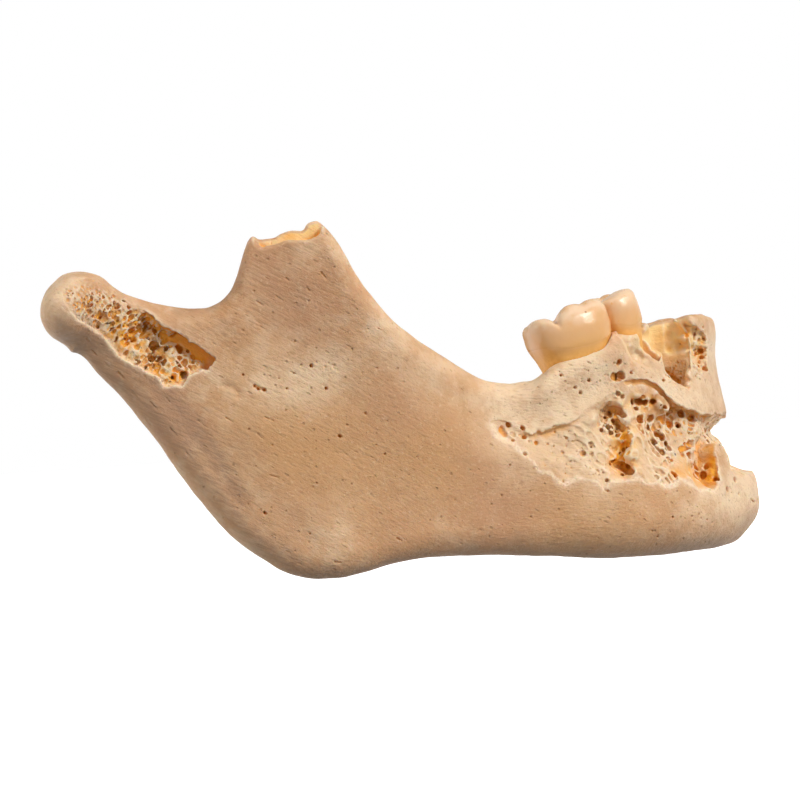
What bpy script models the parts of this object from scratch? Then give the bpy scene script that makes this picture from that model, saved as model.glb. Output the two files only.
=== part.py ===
"""A dry human mandible with its right first molar and second premolar still in their sockets.

The bone stands on its two angles and on the lower border near the chin. +X points to the chin, +Z up, and the
right side of the jaw is the -Y side. Sizes are written in millimetres and become metres where a mesh is made.

Half of the jaw is a loft of upright slices. Behind the molar the slices lie square across the jaw, and round
the chin they fan out from a centre on the midline. "along" measures how far a slice is behind that centre, so
it is negative on the fan. "reach" is how far a point is from the midline, or from the fan's centre.
"""

import math

import bmesh
import bpy
from mathutils import Matrix, Vector

MM = 0.001
RIGHT = -1
LEFT = 1
FAN_X = 22.5
FAN_RADIUS = 24.0
MIDLINE = -FAN_RADIUS * math.pi / 2
REAR_END = 66.0
SLICE_SPACING = 2.4
NARROWEST_SLICE = 0.6
SLOPE_PROBE = 0.3
SOCKET_GAP = 0.3

# Lower outline of the jaw: (along, height), from the midline back past the angle and up to the condyle. It
# dips just below 0 where the bone touches the table, and is worn flat there.
LOWER = [
    (MIDLINE, 0.7), (-25, 0.2), (-14, -0.25), (-5, 0.0), (0, 0.5), (8, 1.3), (15, 1.8), (20, 1.9), (24, 1.5),
    (29, 0.45), (32.3, -0.3), (34.6, -0.35), (36.5, 0.1), (39, 1.1), (43, 3.6), (46.8, 7.0), (50.5, 11.9),
    (54.2, 17.8), (57.8, 23.5), (61.3, 28.4), (64.3, 32.6), (66, 34.8),
]
# Upper outline: tooth-bearing ridge, front edge of the ramus, broken coronoid, notch and condyle.
UPPER = [
    (MIDLINE, 32.3), (-29, 32.5), (-21, 31.9), (-12.5, 29.7), (-6, 28.8), (0, 27.3), (2.5, 26.0), (4.7, 24.9),
    (7.4, 24.6), (10.1, 25.0), (14, 27.2), (17.9, 30.1), (21.8, 33.4), (24.9, 37.1), (27.4, 40.9),
    (29.1, 44.6), (30.6, 47.0), (31.9, 48.4), (33.5, 48.3), (35.1, 47.3), (37.4, 46.8), (39.9, 46.4),
    (41.5, 46.7), (42.4, 44.1), (43.4, 41.4), (44.6, 39.4), (46.2, 38.1), (48.0, 37.6), (50, 37.7),
    (53.4, 38.4), (56, 39.2), (58.7, 40.4), (60.6, 41.3), (62.2, 42.0), (66, 42.0),
]
# Outer and inner faces: (along, reach near the lower border, reach half way up, reach near the top).
OUTER = [
    (MIDLINE, 25.45, 22.2, 20.7), (-33, 25.6, 22.2, 20.8), (-25, 25.4, 23.0, 21.4), (-20.9, 26.1, 23.7, 21.8),
    (-12.5, 27.3, 25.5, 23.2), (-6.3, 28.9, 27.6, 25.0), (0, 30.5, 29.9, 27.0), (8.5, 33.4, 33.2, 30.2),
    (16.5, 36.4, 36.8, 35.6), (25.5, 39.6, 40.3, 41.2), (34.5, 42.6, 43.2, 44.5), (42.5, 44.6, 45.2, 45.0),
    (50.5, 46.0, 46.5, 46.4), (57, 47.6, 48.4, 49.0), (61.5, 48.8, 50.2, 52.0), (66, 50.4, 52.6, 54.2),
]
INNER = [
    (MIDLINE, 11.8, 12.9, 13.7), (-29.3, 12.4, 13.4, 14.0), (-20.9, 13.8, 14.4, 14.3),
    (-12.5, 16.0, 15.8, 14.9), (-6.3, 18.2, 17.1, 15.7), (0, 20.7, 18.7, 17.1), (8.5, 24.6, 22.6, 21.6),
    (16.5, 28.3, 28.6, 29.4),
    (25.5, 33.0, 34.2, 36.8), (34.5, 36.4, 37.4, 40.0), (42.5, 38.4, 39.4, 40.4), (50.5, 39.6, 40.4, 41.0),
    (57, 41.2, 41.6, 42.0), (61.5, 42.6, 42.0, 41.2), (66, 43.8, 42.2, 40.8),
]
FACE_HEIGHTS = (0.16, 0.52, 0.9)
# How round the upper edge is: (along, radius). Sharp where teeth stood, round on the front edge of the ramus.
UPPER_ROUNDING = [(MIDLINE, 2.2), (1, 2.2), (7, 4.5), (20, 3.5), (REAR_END, 6.6)]
LOWER_ROUNDING = 6.6
SIDE_LEVELS = (0.015, 0.06, 0.14, 0.27, 0.42, 0.58, 0.72, 0.84, 0.93, 0.985)

# Condyle heads: spindles across the jaw, each with its inner end turned back.
CONDYLE_CENTRE = (-42.84, 47.5, 38.95)
CONDYLE_HALF_SIZES = (4.25, 9.3, 4.65)
CONDYLE_TURN = math.radians(15)
# Genial spine: a small knob low on the inner face of the chin.
SPINE_CENTRE = (33.9, 0.0, 8.0)
SPINE_HALF_SIZES = (2.4, 1.5, 3.0)

# Places where the outer wall has weathered away: (along, bottom, top, depth under the face).
BODY_POCKET = [
    (10.4, 18.8, 19.4, 0.3), (8.5, 16.8, 19.3, 0.9), (6.0, 15.2, 18.2, 1.3), (3.5, 12.4, 18.7, 1.8),
    (1.0, 10.6, 19.2, 2.3), (-2.0, 9.6, 19.9, 2.8), (-5.5, 9.4, 21.0, 3.0), (-9.0, 9.2, 21.6, 3.0),
    (-14.0, 9.0, 21.0, 3.0), (-19.0, 8.2, 20.1, 3.0), (-23.5, 8.0, 19.4, 3.0), (-30.0, 9.4, 19.0, 3.0),
    (MIDLINE, 10.3, 18.8, 3.0), (-46.0, 10.6, 18.3, 2.5), (-53.0, 11.5, 17.0, 1.5), (-56.5, 13.0, 15.0, 0.5),
]
NECK_POCKET = [
    (46.9, 29.6, 30.8, 0.3), (48.3, 28.7, 31.9, 1.2), (50.5, 28.0, 33.6, 1.9), (52.6, 27.6, 35.2, 2.1),
    (54.6, 28.9, 36.6, 2.2), (57.0, 30.5, 37.9, 2.2), (59.2, 31.8, 39.2, 2.1), (61.0, 34.2, 41.0, 1.9),
]
POCKET_PROFILE = ((0.0, 0.35), (0.14, 0.85), (0.4, 1.0), (0.7, 1.0), (0.9, 0.8), (1.0, 0.35))
POCKET_RISE = 4.0

# Empty sockets: (side, along, reach, width along the arch, width across it, depth).
SOCKETS = [
    (RIGHT, -15.6, 20.3, 4.6, 6.6, 6.0),
    (RIGHT, -22.3, 19.0, 4.6, 6.8, 11.0),
    (RIGHT, -29.0, 17.2, 3.0, 4.0, 6.0),
    (RIGHT, -34.6, 17.0, 2.8, 3.8, 5.5),
    (LEFT, -34.6, 17.0, 2.8, 3.8, 5.5),
    (LEFT, -29.0, 17.2, 3.0, 4.0, 6.0),
    (LEFT, -22.0, 18.0, 4.2, 5.4, 9.0),
    (LEFT, -14.5, 19.0, 4.2, 5.0, 8.0),
    (LEFT, -8.2, 20.0, 4.2, 5.4, 7.5),
    (LEFT, -2.0, 22.0, 4.0, 6.4, 7.0),
    (LEFT, 2.6, 23.4, 3.6, 5.6, 5.5),
]
SOCKET_SIDES = 12
SOCKET_TAPER = 0.5

# Broken tip of the coronoid: a trough between its two walls.
TROUGH_CENTRE = (-14.0, 42.8, 47.9)
TROUGH_HALF_SIZES = (3.9, 1.15, 2.6)
# Holes for the nerve: (centre, axis, radius, length).
NERVE_HOLES = [
    ((-14.5, -39.0, 24.0), (0.35, -0.75, -0.6), 1.7, 9.0),
    ((-14.5, 39.0, 24.0), (0.35, 0.75, -0.6), 1.7, 9.0),
    ((30.0, 27.5, 14.0), (-0.6, -0.75, -0.25), 1.2, 8.0),
]
HOLE_SIDES = 12
# The table, as a block that wears the lower outline flat.
TABLE_SIZE = (140.0, 140.0, 20.0)

# Teeth, each in its own frame: X towards the chin along the arch, Y to the tongue, Z up, and 0 at the neck.
# Crown rows: (height, width along the arch, width across it, rise of the cusps).
MOLAR_CROWN = [
    (-3.2, 8.2, 8.2, 0), (-1.2, 8.7, 8.7, 0), (0.0, 9.5, 9.2, 0), (1.6, 10.8, 10.2, 0),
    (3.3, 11.1, 10.3, 0.1), (4.7, 10.4, 9.5, 0.35), (5.4, 9.0, 8.1, 0.6), (5.35, 7.2, 6.3, 0.55),
    (4.9, 4.8, 4.0, 0.3), (4.6, 2.0, 1.6, 0),
]
PREMOLAR_CROWN = [
    (-1.5, 4.9, 6.4, 0), (0.0, 5.3, 6.9, 0), (1.7, 6.0, 7.6, 0), (3.4, 6.3, 7.9, 0.1), (4.9, 6.1, 7.3, 0.25),
    (5.8, 5.3, 6.2, 0.4), (5.75, 4.1, 4.8, 0.35), (5.4, 2.4, 3.0, 0.2), (5.2, 1.0, 1.2, 0),
]
# Root rows: (height, shift along the arch, width along the arch, width across it).
MOLAR_ROOT = [
    (-0.6, 2.0, 3.9, 7.4), (-3, 2.5, 3.9, 7.2), (-6, 2.8, 3.3, 5.8), (-8, 2.7, 2.6, 4.2), (-9.4, 2.5, 1.2, 2),
]
PREMOLAR_ROOT = [(-0.8, 0, 4.6, 6.0), (-4.5, 0, 4.0, 5.0), (-8, 0, 3.0, 3.6), (-10.5, 0, 1.5, 1.8)]
MOLAR_PLACE = Vector((23.2, -22.4, 28.5)) * MM
MOLAR_TURN = (math.radians(-4), math.radians(-13), math.radians(22))
PREMOLAR_PLACE = Vector((30.2, -17.2, 30.2)) * MM
PREMOLAR_TURN = (math.radians(-5), math.radians(-8), math.radians(36))
RING_POINTS = 16
RING_SQUARENESS = 0.78

BONE_COLOUR = (0.80, 0.60, 0.38, 1.0)
TOOTH_COLOUR = (0.82, 0.60, 0.40, 1.0)


def curve_through(points, x):
    """A smooth curve through (x, value) points that never swings past them."""
    if x <= points[0][0]:
        return points[0][1]
    if x >= points[-1][0]:
        return points[-1][1]
    i = next(k for k in range(len(points) - 1) if points[k][0] <= x <= points[k + 1][0])

    def chord(k):
        (x0, y0), (x1, y1) = points[k], points[k + 1]
        return (y1 - y0) / (x1 - x0)

    def slope(k):
        if k in (0, len(points) - 1):
            return 0.0
        before, after = chord(k - 1), chord(k)
        return 2 * before * after / (before + after) if before * after > 0 else 0.0

    (x0, y0), (x1, y1) = points[i], points[i + 1]
    width = x1 - x0
    t = (x - x0) / width
    return (
        y0 * (1 + 2 * t) * (1 - t) ** 2
        + slope(i) * width * t * (1 - t) ** 2
        + y1 * t * t * (3 - 2 * t)
        + slope(i + 1) * width * t * t * (t - 1)
    )


def same_half(along):
    """Past the midline the jaw repeats itself."""
    return along if along >= MIDLINE else 2 * MIDLINE - along


def face_reach(face, along, level):
    """Reach of the outer or inner face at a level from 0, the lower outline, to 1, the upper one."""
    heights = [
        (h, curve_through([(row[0], row[k + 1]) for row in face], along)) for k, h in enumerate(FACE_HEIGHTS)
    ]
    return curve_through(heights, level)


def place(along, reach, height, side=RIGHT):
    """A point of the jaw in metres."""
    if along >= 0:
        return Vector((FAN_X - along, side * reach, height)) * MM
    angle = math.pi / 2 + along / FAN_RADIUS
    return Vector((FAN_X + reach * math.cos(angle), side * reach * math.sin(angle), height)) * MM


def slice_points(along):
    """One closed slice: up the outer face, over the top, and down the inner face."""
    low, high = curve_through(LOWER, along), curve_through(UPPER, along)

    def pair(level):
        outer, inner = face_reach(OUTER, along, level), face_reach(INNER, along, level)
        middle, half = (outer + inner) / 2, (outer - inner) / 2
        rounding = LOWER_ROUNDING if level < 0.5 else curve_through(UPPER_ROUNDING, along)
        cap = min(half, rounding, (high - low) / 2)
        to_edge = min(level, 1 - level) * (high - low)
        if to_edge < cap:
            half = half - cap + math.sqrt(cap * cap - (cap - to_edge) ** 2)
        return middle + half, middle - half

    def height(level):
        return low + level * (high - low)

    outer_side = [place(along, pair(v)[0], height(v)) for v in SIDE_LEVELS]
    inner_side = [place(along, pair(v)[1], height(v)) for v in reversed(SIDE_LEVELS)]
    return [
        place(along, sum(pair(0)) / 2, low), *outer_side,
        place(along, sum(pair(1)) / 2, high), *inner_side,
    ]


def slice_positions():
    """Where the slices lie: closer together where an outline is steep."""
    positions = [MIDLINE]
    while positions[-1] < REAR_END:
        here = positions[-1]
        steepest = max(
            abs(curve_through(outline, here + SLOPE_PROBE) - curve_through(outline, here)) / SLOPE_PROBE
            for outline in (LOWER, UPPER)
        )
        positions.append(here + max(NARROWEST_SLICE, SLICE_SPACING / math.sqrt(1 + steepest**2)))
    positions[-1] = REAR_END
    return positions


def loft(loops, close_start=True, close_end=True):
    """A mesh through loops of equal length."""
    mesh = bmesh.new()
    rings = [[mesh.verts.new(p) for p in loop] for loop in loops]
    count = len(rings[0])
    for first, second in zip(rings, rings[1:]):
        for k in range(count):
            mesh.faces.new((first[k], first[(k + 1) % count], second[(k + 1) % count], second[k]))
    if close_start:
        mesh.faces.new(list(reversed(rings[0])))
    if close_end:
        mesh.faces.new(rings[-1])
    bmesh.ops.recalc_face_normals(mesh, faces=mesh.faces[:])
    return mesh


def jaw_half():
    """The right half, open at the midline."""
    return loft([slice_points(a) for a in slice_positions()], close_start=False)


def spindles(centre, half_sizes, turn=0.0, both_sides=True):
    """One ball stretched along its axes, or one on each side of the midline."""
    mesh = bmesh.new()
    sides = (RIGHT, LEFT) if both_sides else (LEFT,)
    for side in sides:
        middle = Vector((centre[0], side * centre[1], centre[2])) * MM
        stretch = Matrix.Diagonal([size * MM for size in half_sizes]).to_4x4()
        matrix = Matrix.Translation(middle) @ Matrix.Rotation(side * turn, 4, "Z") @ stretch
        bmesh.ops.create_uvsphere(mesh, u_segments=18, v_segments=10, radius=1.0, matrix=matrix)
    return mesh


def pocket(rows):
    """A cutter that follows the outer face of the right side, and goes on past the midline."""
    loops = []
    for along, bottom, top, depth in rows:
        here = same_half(along)
        low, high = curve_through(LOWER, here), curve_through(UPPER, here)
        heights = [bottom + v * (top - bottom) for v, _ in POCKET_PROFILE]
        faces = [face_reach(OUTER, here, (z - low) / (high - low)) for z in heights]
        floor = [
            place(along, face - depth * share, z)
            for face, z, (_, share) in zip(faces, heights, POCKET_PROFILE)
        ]
        outside = [place(along, face + POCKET_RISE, z) for face, z in zip(faces, heights)]
        loops.append(floor + outside[::-1])
    return loft(loops)


def socket_cones():
    """The empty sockets, narrower at the bottom."""
    mesh = bmesh.new()
    for side, along, reach, length, width, depth in SOCKETS:
        top = curve_through(UPPER, same_half(along))
        height = depth + POCKET_RISE
        middle = place(along, reach, top - depth + height / 2, side)
        heading = side * along / FAN_RADIUS if along < 0 else 0.0
        stretch = Matrix.Diagonal((length * MM, width * MM, height * MM)).to_4x4()
        bmesh.ops.create_cone(
            mesh, cap_ends=True, segments=SOCKET_SIDES, depth=1.0,
            radius1=0.5 * SOCKET_TAPER, radius2=0.5 + 0.5 * (1 - SOCKET_TAPER) * POCKET_RISE / depth,
            matrix=Matrix.Translation(middle) @ Matrix.Rotation(heading, 4, "Z") @ stretch,
        )
    return mesh


def nerve_holes():
    """Round bores where the nerve goes in and comes out."""
    mesh = bmesh.new()
    for centre, axis, radius, length in NERVE_HOLES:
        turn = Vector((0, 0, 1)).rotation_difference(Vector(axis)).to_matrix().to_4x4()
        bmesh.ops.create_cone(
            mesh, cap_ends=True, segments=HOLE_SIDES, depth=length * MM,
            radius1=radius * MM, radius2=radius * MM,
            matrix=Matrix.Translation(Vector(centre) * MM) @ turn,
        )
    return mesh


def table_block():
    mesh = bmesh.new()
    middle = Vector((0, 0, -TABLE_SIZE[2] / 2)) * MM
    stretch = Matrix.Diagonal([size * MM for size in TABLE_SIZE]).to_4x4()
    bmesh.ops.create_cube(mesh, size=1.0, matrix=Matrix.Translation(middle) @ stretch)
    return mesh


def ring(height, width, thickness, cusp=0.0, cusps=4, shift=0.0):
    """One level of a tooth: a rounded rectangle, raised at its corners by the cusps."""
    points = []
    for k in range(RING_POINTS):
        angle = 2 * math.pi * k / RING_POINTS
        x, y = math.cos(angle), math.sin(angle)
        rise = cusp * (-math.cos(4 * angle) if cusps == 4 else -math.cos(2 * angle))
        points.append(Vector((
            shift + width / 2 * math.copysign(abs(x) ** RING_SQUARENESS, x),
            thickness / 2 * math.copysign(abs(y) ** RING_SQUARENESS, y),
            height + rise,
        )) * MM)
    return points


def crown(rows, cusps, gap=0.0):
    return loft([ring(z, width + 2 * gap, thick + 2 * gap, rise, cusps) for z, width, thick, rise in rows])


def root(rows, way=1, gap=0.0):
    """A root, leaning forwards or back by its shift."""
    loops = [ring(z, width + 2 * gap, thick + 2 * gap, shift=way * shift) for z, shift, width, thick in rows]
    tip, shift, width, thick = rows[-1]
    if gap:
        loops.append(ring(tip - gap, width, thick, shift=way * shift))
    return loft(loops)


def collection_named(name):
    made = bpy.data.collections.new(name)
    bpy.context.scene.collection.children.link(made)
    return made


def object_from(mesh, name, collection, turn=(0, 0, 0), location=(0, 0, 0)):
    data = bpy.data.meshes.new(name)
    mesh.to_mesh(data)
    mesh.free()
    made = bpy.data.objects.new(name, data)
    made.location = location
    made.rotation_euler = turn
    collection.objects.link(made)
    return made


def hide(helpers):
    for helper in helpers.objects:
        helper.display_type = "WIRE"
        helper.hide_render = True


def boolean(target, operation, helpers):
    modifier = target.modifiers.new(operation.lower(), "BOOLEAN")
    modifier.operation = operation
    modifier.solver = "EXACT"
    modifier.operand_type = "COLLECTION"
    modifier.collection = helpers
    hide(helpers)


def material(name, colour, roughness):
    made = bpy.data.materials.new(name)
    made.use_nodes = True
    shader = made.node_tree.nodes["Principled BSDF"]
    shader.inputs["Base Color"].default_value = colour
    shader.inputs["Roughness"].default_value = roughness
    shader.inputs["Metallic"].default_value = 0.0
    return made


def build_jaw(parts):
    jaw = object_from(jaw_half(), "mandible", parts)
    mirror = jaw.modifiers.new("left_half", "MIRROR")
    mirror.use_axis = (False, True, False)
    mirror.merge_threshold = 0.00005

    knobs = collection_named("jaw_knobs")
    object_from(spindles(CONDYLE_CENTRE, CONDYLE_HALF_SIZES, CONDYLE_TURN), "condyle_heads", knobs)
    object_from(spindles(SPINE_CENTRE, SPINE_HALF_SIZES, both_sides=False), "genial_spine", knobs)
    boolean(jaw, "UNION", knobs)

    cutters = collection_named("jaw_cutters")
    object_from(pocket(BODY_POCKET), "body_pocket", cutters)
    object_from(pocket(NECK_POCKET), "neck_pocket", cutters)
    object_from(socket_cones(), "empty_sockets", cutters)
    object_from(spindles(TROUGH_CENTRE, TROUGH_HALF_SIZES), "coronoid_troughs", cutters)
    object_from(nerve_holes(), "nerve_holes", cutters)
    object_from(crown(MOLAR_CROWN, 4, SOCKET_GAP), "molar_trunk_space", cutters, MOLAR_TURN, MOLAR_PLACE)
    for name, way in (("front", 1), ("rear", -1)):
        space = root(MOLAR_ROOT, way, SOCKET_GAP)
        object_from(space, f"molar_{name}_root_space", cutters, MOLAR_TURN, MOLAR_PLACE)
    space = crown(PREMOLAR_CROWN, 2, SOCKET_GAP)
    object_from(space, "premolar_neck_space", cutters, PREMOLAR_TURN, PREMOLAR_PLACE)
    space = root(PREMOLAR_ROOT, gap=SOCKET_GAP)
    object_from(space, "premolar_root_space", cutters, PREMOLAR_TURN, PREMOLAR_PLACE)
    object_from(table_block(), "worn_flat", cutters)
    boolean(jaw, "DIFFERENCE", cutters)
    return jaw


def build_molar(parts):
    molar = object_from(crown(MOLAR_CROWN, 4), "first_molar", parts, MOLAR_TURN, MOLAR_PLACE)
    roots = collection_named("molar_roots")
    for name, way in (("front", 1), ("rear", -1)):
        object_from(root(MOLAR_ROOT, way), f"molar_{name}_root", roots, MOLAR_TURN, MOLAR_PLACE)
    boolean(molar, "UNION", roots)
    return molar


def build_premolar(parts):
    premolar = object_from(crown(PREMOLAR_CROWN, 2), "second_premolar", parts, PREMOLAR_TURN, PREMOLAR_PLACE)
    roots = collection_named("premolar_roots")
    object_from(root(PREMOLAR_ROOT), "premolar_root", roots, PREMOLAR_TURN, PREMOLAR_PLACE)
    boolean(premolar, "UNION", roots)
    return premolar


def main():
    for old in list(bpy.data.objects):
        bpy.data.objects.remove(old)
    parts = collection_named("human_mandible")
    bone = material("dry_bone", BONE_COLOUR, 0.75)
    tooth = material("tooth", TOOTH_COLOUR, 0.3)
    build_jaw(parts).data.materials.append(bone)
    build_molar(parts).data.materials.append(tooth)
    build_premolar(parts).data.materials.append(tooth)


main()
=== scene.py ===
"""The looks of a dry, weathered human mandible with two teeth.

The bone is modelled as a solid field: a number at every point of a fine grid, negative inside the bone.
Shapes are put together from outlines, ridges, hollows and pores, and the grid's zero surface becomes the
mesh. Sizes are in millimetres until a mesh is made. +X points to the chin, +Z up, and the right side of the
jaw is the -Y side.

"along" runs round the jaw: 0 where the fan of slices round the chin begins on the right side, negative
towards the chin and on past it to the left side. "reach" is the distance from the midline, or from the
fan's centre.
"""

import math

import bpy
import numpy as np
import openvdb
from mathutils import Euler, Matrix, Vector

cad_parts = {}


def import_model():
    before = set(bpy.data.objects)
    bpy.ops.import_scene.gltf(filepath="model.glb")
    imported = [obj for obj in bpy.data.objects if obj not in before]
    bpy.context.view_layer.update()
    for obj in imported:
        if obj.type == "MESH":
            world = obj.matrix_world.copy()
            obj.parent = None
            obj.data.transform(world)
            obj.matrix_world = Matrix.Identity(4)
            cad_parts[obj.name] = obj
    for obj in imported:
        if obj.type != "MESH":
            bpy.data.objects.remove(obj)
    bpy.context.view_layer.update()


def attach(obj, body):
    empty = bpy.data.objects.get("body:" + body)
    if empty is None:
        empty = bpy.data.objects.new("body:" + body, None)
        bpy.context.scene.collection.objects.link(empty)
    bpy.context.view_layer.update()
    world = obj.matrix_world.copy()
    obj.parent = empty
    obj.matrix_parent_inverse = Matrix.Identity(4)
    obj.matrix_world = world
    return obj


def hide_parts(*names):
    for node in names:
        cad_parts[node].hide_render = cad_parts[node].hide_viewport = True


MM = 0.001
SEED = 7
RIGHT = -1
LEFT = 1
COARSENESS = 1.0

# The photograph's frame: where its pixels lie on an upright plane through the right side of the part.
PX_PER_MM = 7.37
PHOTO_TURN = math.radians(4.0)
PHOTO_CENTRE_PX = 400.0
PHOTO_FOOT_PX = 578.0
FOOT_SHIFT = (-1.65, -0.66)
PHOTO_PLANE_Y = -25.0
AIM = (0.035, 0.0, 23.43)
LENS = 1500.0
SENSOR = 36.0
PHOTO_SIZE_PX = 800
CAMERA_DISTANCE = PHOTO_SIZE_PX / PX_PER_MM * LENS / SENSOR

FAN_X = 22.5
FAN_RADIUS = 24.0
MIDLINE = -FAN_RADIUS * math.pi / 2
REAR_END = 66.0
MAP_STEP = 0.16
MAP_HEIGHTS = (-2.0, 52.0)
MAP_MARGIN = 6.0
OUTLINE_POINTS = 330
UNROLL_STEPS = 30

# Lower and upper outline of the jaw, and its outer and inner faces, as in the solid part.
LOWER = [
    (MIDLINE, 0.7), (-25, 0.2), (-14, 0.02), (-5, 0.1), (0, 0.5), (8, 1.3), (15, 1.8), (20, 1.9),
    (24, 1.5), (29, 0.45), (32.3, 0.02), (34.6, 0.02), (36.5, 0.3), (39, 1.1), (43, 3.6), (46.8, 7.0),
    (50.5, 11.9), (54.2, 17.8), (57.8, 23.4), (60.3, 26.7), (62.8, 29.7), (66, 33.2),
]
UPPER = [
    (MIDLINE, 31.55), (-33, 31.65), (-29, 31.9), (-25, 31.85), (-20, 31.6), (-15, 31.35), (-11, 31.25),
    (-8.3, 30.8), (-6.7, 30.1), (-6.0, 29.4), (-5.2, 28.85), (-4.1, 28.55), (-2.6, 28.0), (-1.4, 27.75),
    (-0.2, 27.35), (1.8, 26.4), (3.3, 25.3), (4.4, 24.8), (7.4, 24.6), (10.1, 25.0), (14, 27.2),
    (17.9, 30.1), (21.8, 33.4), (24.9, 37.1), (27.4, 41.1), (29.8, 45.9), (31, 47.5), (32.1, 48.35),
    (33.2, 48.1), (34, 47.15), (35.6, 47.3), (37, 47.0), (38, 46.5), (39.9, 46.4), (40.8, 46.9),
    (41.4, 46.4), (42.1, 44.9), (43.4, 41.4), (44.6, 39.4), (46.2, 38.1), (48.0, 37.6), (50, 37.7),
    (53.4, 38.4), (56, 39.2), (58.7, 40.4), (60.6, 41.3), (62.2, 42.0), (66, 42.0),
]
OUTER = [
    (MIDLINE, 25.45, 22.2, 20.7), (-33, 25.6, 22.2, 20.8), (-25, 25.4, 23.0, 21.4),
    (-20.9, 26.1, 23.7, 21.8), (-12.5, 27.3, 25.5, 23.2), (-6.3, 28.9, 27.6, 25.0), (0, 30.5, 29.9, 27.0),
    (8.5, 33.4, 33.2, 30.2), (16.5, 36.4, 36.8, 35.6), (25.5, 39.6, 40.3, 41.2), (34.5, 42.6, 43.2, 44.5),
    (42.5, 44.6, 45.2, 45.0), (50.5, 46.0, 46.5, 46.4), (57, 47.6, 48.4, 49.0), (61.5, 48.8, 50.2, 52.0),
    (66, 50.4, 52.6, 54.2),
]
INNER = [
    (MIDLINE, 11.8, 12.9, 13.7), (-29.3, 12.4, 13.4, 14.0), (-20.9, 13.8, 14.4, 14.3),
    (-12.5, 16.0, 15.8, 14.9), (-6.3, 18.2, 17.1, 15.7), (0, 20.7, 18.7, 17.1), (8.5, 24.6, 22.6, 21.6),
    (16.5, 28.3, 28.6, 29.4), (25.5, 33.0, 34.2, 36.8), (34.5, 36.4, 37.4, 40.0),
    (42.5, 38.4, 39.4, 40.4), (50.5, 39.6, 40.4, 41.0), (57, 41.2, 41.6, 42.0), (61.5, 42.6, 42.0, 41.2),
    (66, 43.8, 42.2, 40.8),
]
FACE_HEIGHTS = (0.16, 0.52, 0.9)
UPPER_ROUNDING = [
    (MIDLINE, 1.1), (1, 1.3), (7, 4.0), (20, 3.2), (29, 2.6), (31, 1.6), (41, 1.6), (46, 3.5),
    (REAR_END, 5.5),
]
LOWER_ROUNDING = 5.5
# Bare patches stop this far outside the bone's middle, and their floor is calmer from CALM_FROM to CALM_TO.
INNER_PLATE = 0.4
CALM_FROM = 8.0
CALM_TO = 27.5
CALM_SHARE = 0.45
# How much lower the left side is, and along which stretch that begins.
LEFT_DROP = 0.5
LEFT_DROP_FROM = 20.0
LEFT_DROP_OVER = 15.0
# How the top of the jaw's front slopes to the tongue.
FRONT_SLOPE = 0.15
FRONT_SLOPE_REACH = 17.8
# How softly cuts meet the surface: bare patches, broken walls, sockets, troughs, nerve holes, roots' room,
# pores, slits, chains and cells.
BARE_BLEND = 0.3
BROKEN_BLEND = 0.5
SOCKET_BLEND = 0.9
TROUGH_BLEND = 0.3
NERVE_BLEND = 0.8
ROOT_BLEND = 0.15
PORE_BLEND = 0.16
SLIT_BLEND = 0.14
CHAIN_BLEND = 0.2
CELL_BLEND = 0.14
SPONGE_BLEND = 0.1
# Waves of the bone's surface and of the bare floors: (height, size).
SURFACE_WAVES = ((0.10, 3.4), (0.045, 1.3))
FLOOR_WAVES = ((0.14, 0.9), (0.07, 0.45))

CONDYLE_CENTRE = (-42.84, 47.5, 38.95)
CONDYLE_HALF_SIZES = (4.25, 9.3, 4.65)
CONDYLE_TURN = math.radians(15)
CONDYLE_LEAN = -0.16
SPINE_CENTRE = (33.9, 0.0, 8.0)
SPINE_HALF_SIZES = (2.4, 1.5, 3.0)
CONDYLE_BLEND = 2.5
SPINE_BLEND = 1.5

# Ridges (positive) and grooves on the faces: (height, half width, points as (along, height)).
OUTER_RIDGES = [
    (0.9, 2.6, [(28.5, 44), (24.5, 37), (20, 31.8), (15, 27.8), (10, 24.6), (4, 22.6)]),
    (0.16, 1.6, [(31, 4), (37, 10)]),
    (0.14, 1.3, [(37, 4), (44, 13)]),
    (1.1, 2.6, [(1.5, 24.2), (-3, 26), (-7, 28)]),
    (0.5, 2.4, [(44, 6), (50, 14), (57, 25)]),
    (0.45, 3.0, [(MIDLINE, 10), (-30, 10)]),
    (0.4, 2.4, [(MIDLINE, 29), (-28, 29)]),
    (-0.55, 2.0, [(MIDLINE, 2.2), (-30, 2.2)]),
    (-0.45, 7.0, [(33, 26), (36, 31)]),
    (-0.35, 6.0, [(20, 14), (12, 11)]),
    (-0.22, 0.45, [(46.0, 27.0), (44.8, 26.7), (44.2, 25.9), (44.3, 25.4)]),
    (0.4, 3.0, [(45, 36), (52, 31)]),
]
INNER_RIDGES = [
    (1.1, 1.7, [(13, 19.5), (0, 16), (-10, 12.5), (-20, 10)]),
    (-1.1, 6.0, [(9, 9.5), (2, 8.5)]),
    (0.9, 2.0, [(34, 45), (27, 34), (17, 26)]),
    (-0.5, 0.8, [(36, 22), (31, 18), (27, 14.5)]),
    (0.35, 1.2, [(33, 4), (39, 12)]),
    (0.35, 1.2, [(38, 4), (45, 14)]),
    (0.6, 2.5, [(57, 36), (50, 30), (44, 26)]),
]

# Rims of the two places where the outer wall has weathered away, as picture points.
BODY_RIM_PX = [
    (490, 423), (497, 436), (513, 444), (528, 458), (535, 463), (538, 471), (551, 473), (560, 483),
    (566, 484), (578, 478), (596, 481), (604, 489), (611, 481), (626, 481), (639, 478), (652, 484),
    (660, 480), (664, 486), (676, 485), (679, 477), (691, 484), (701, 490), (708, 489), (715, 489.5),
]
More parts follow.
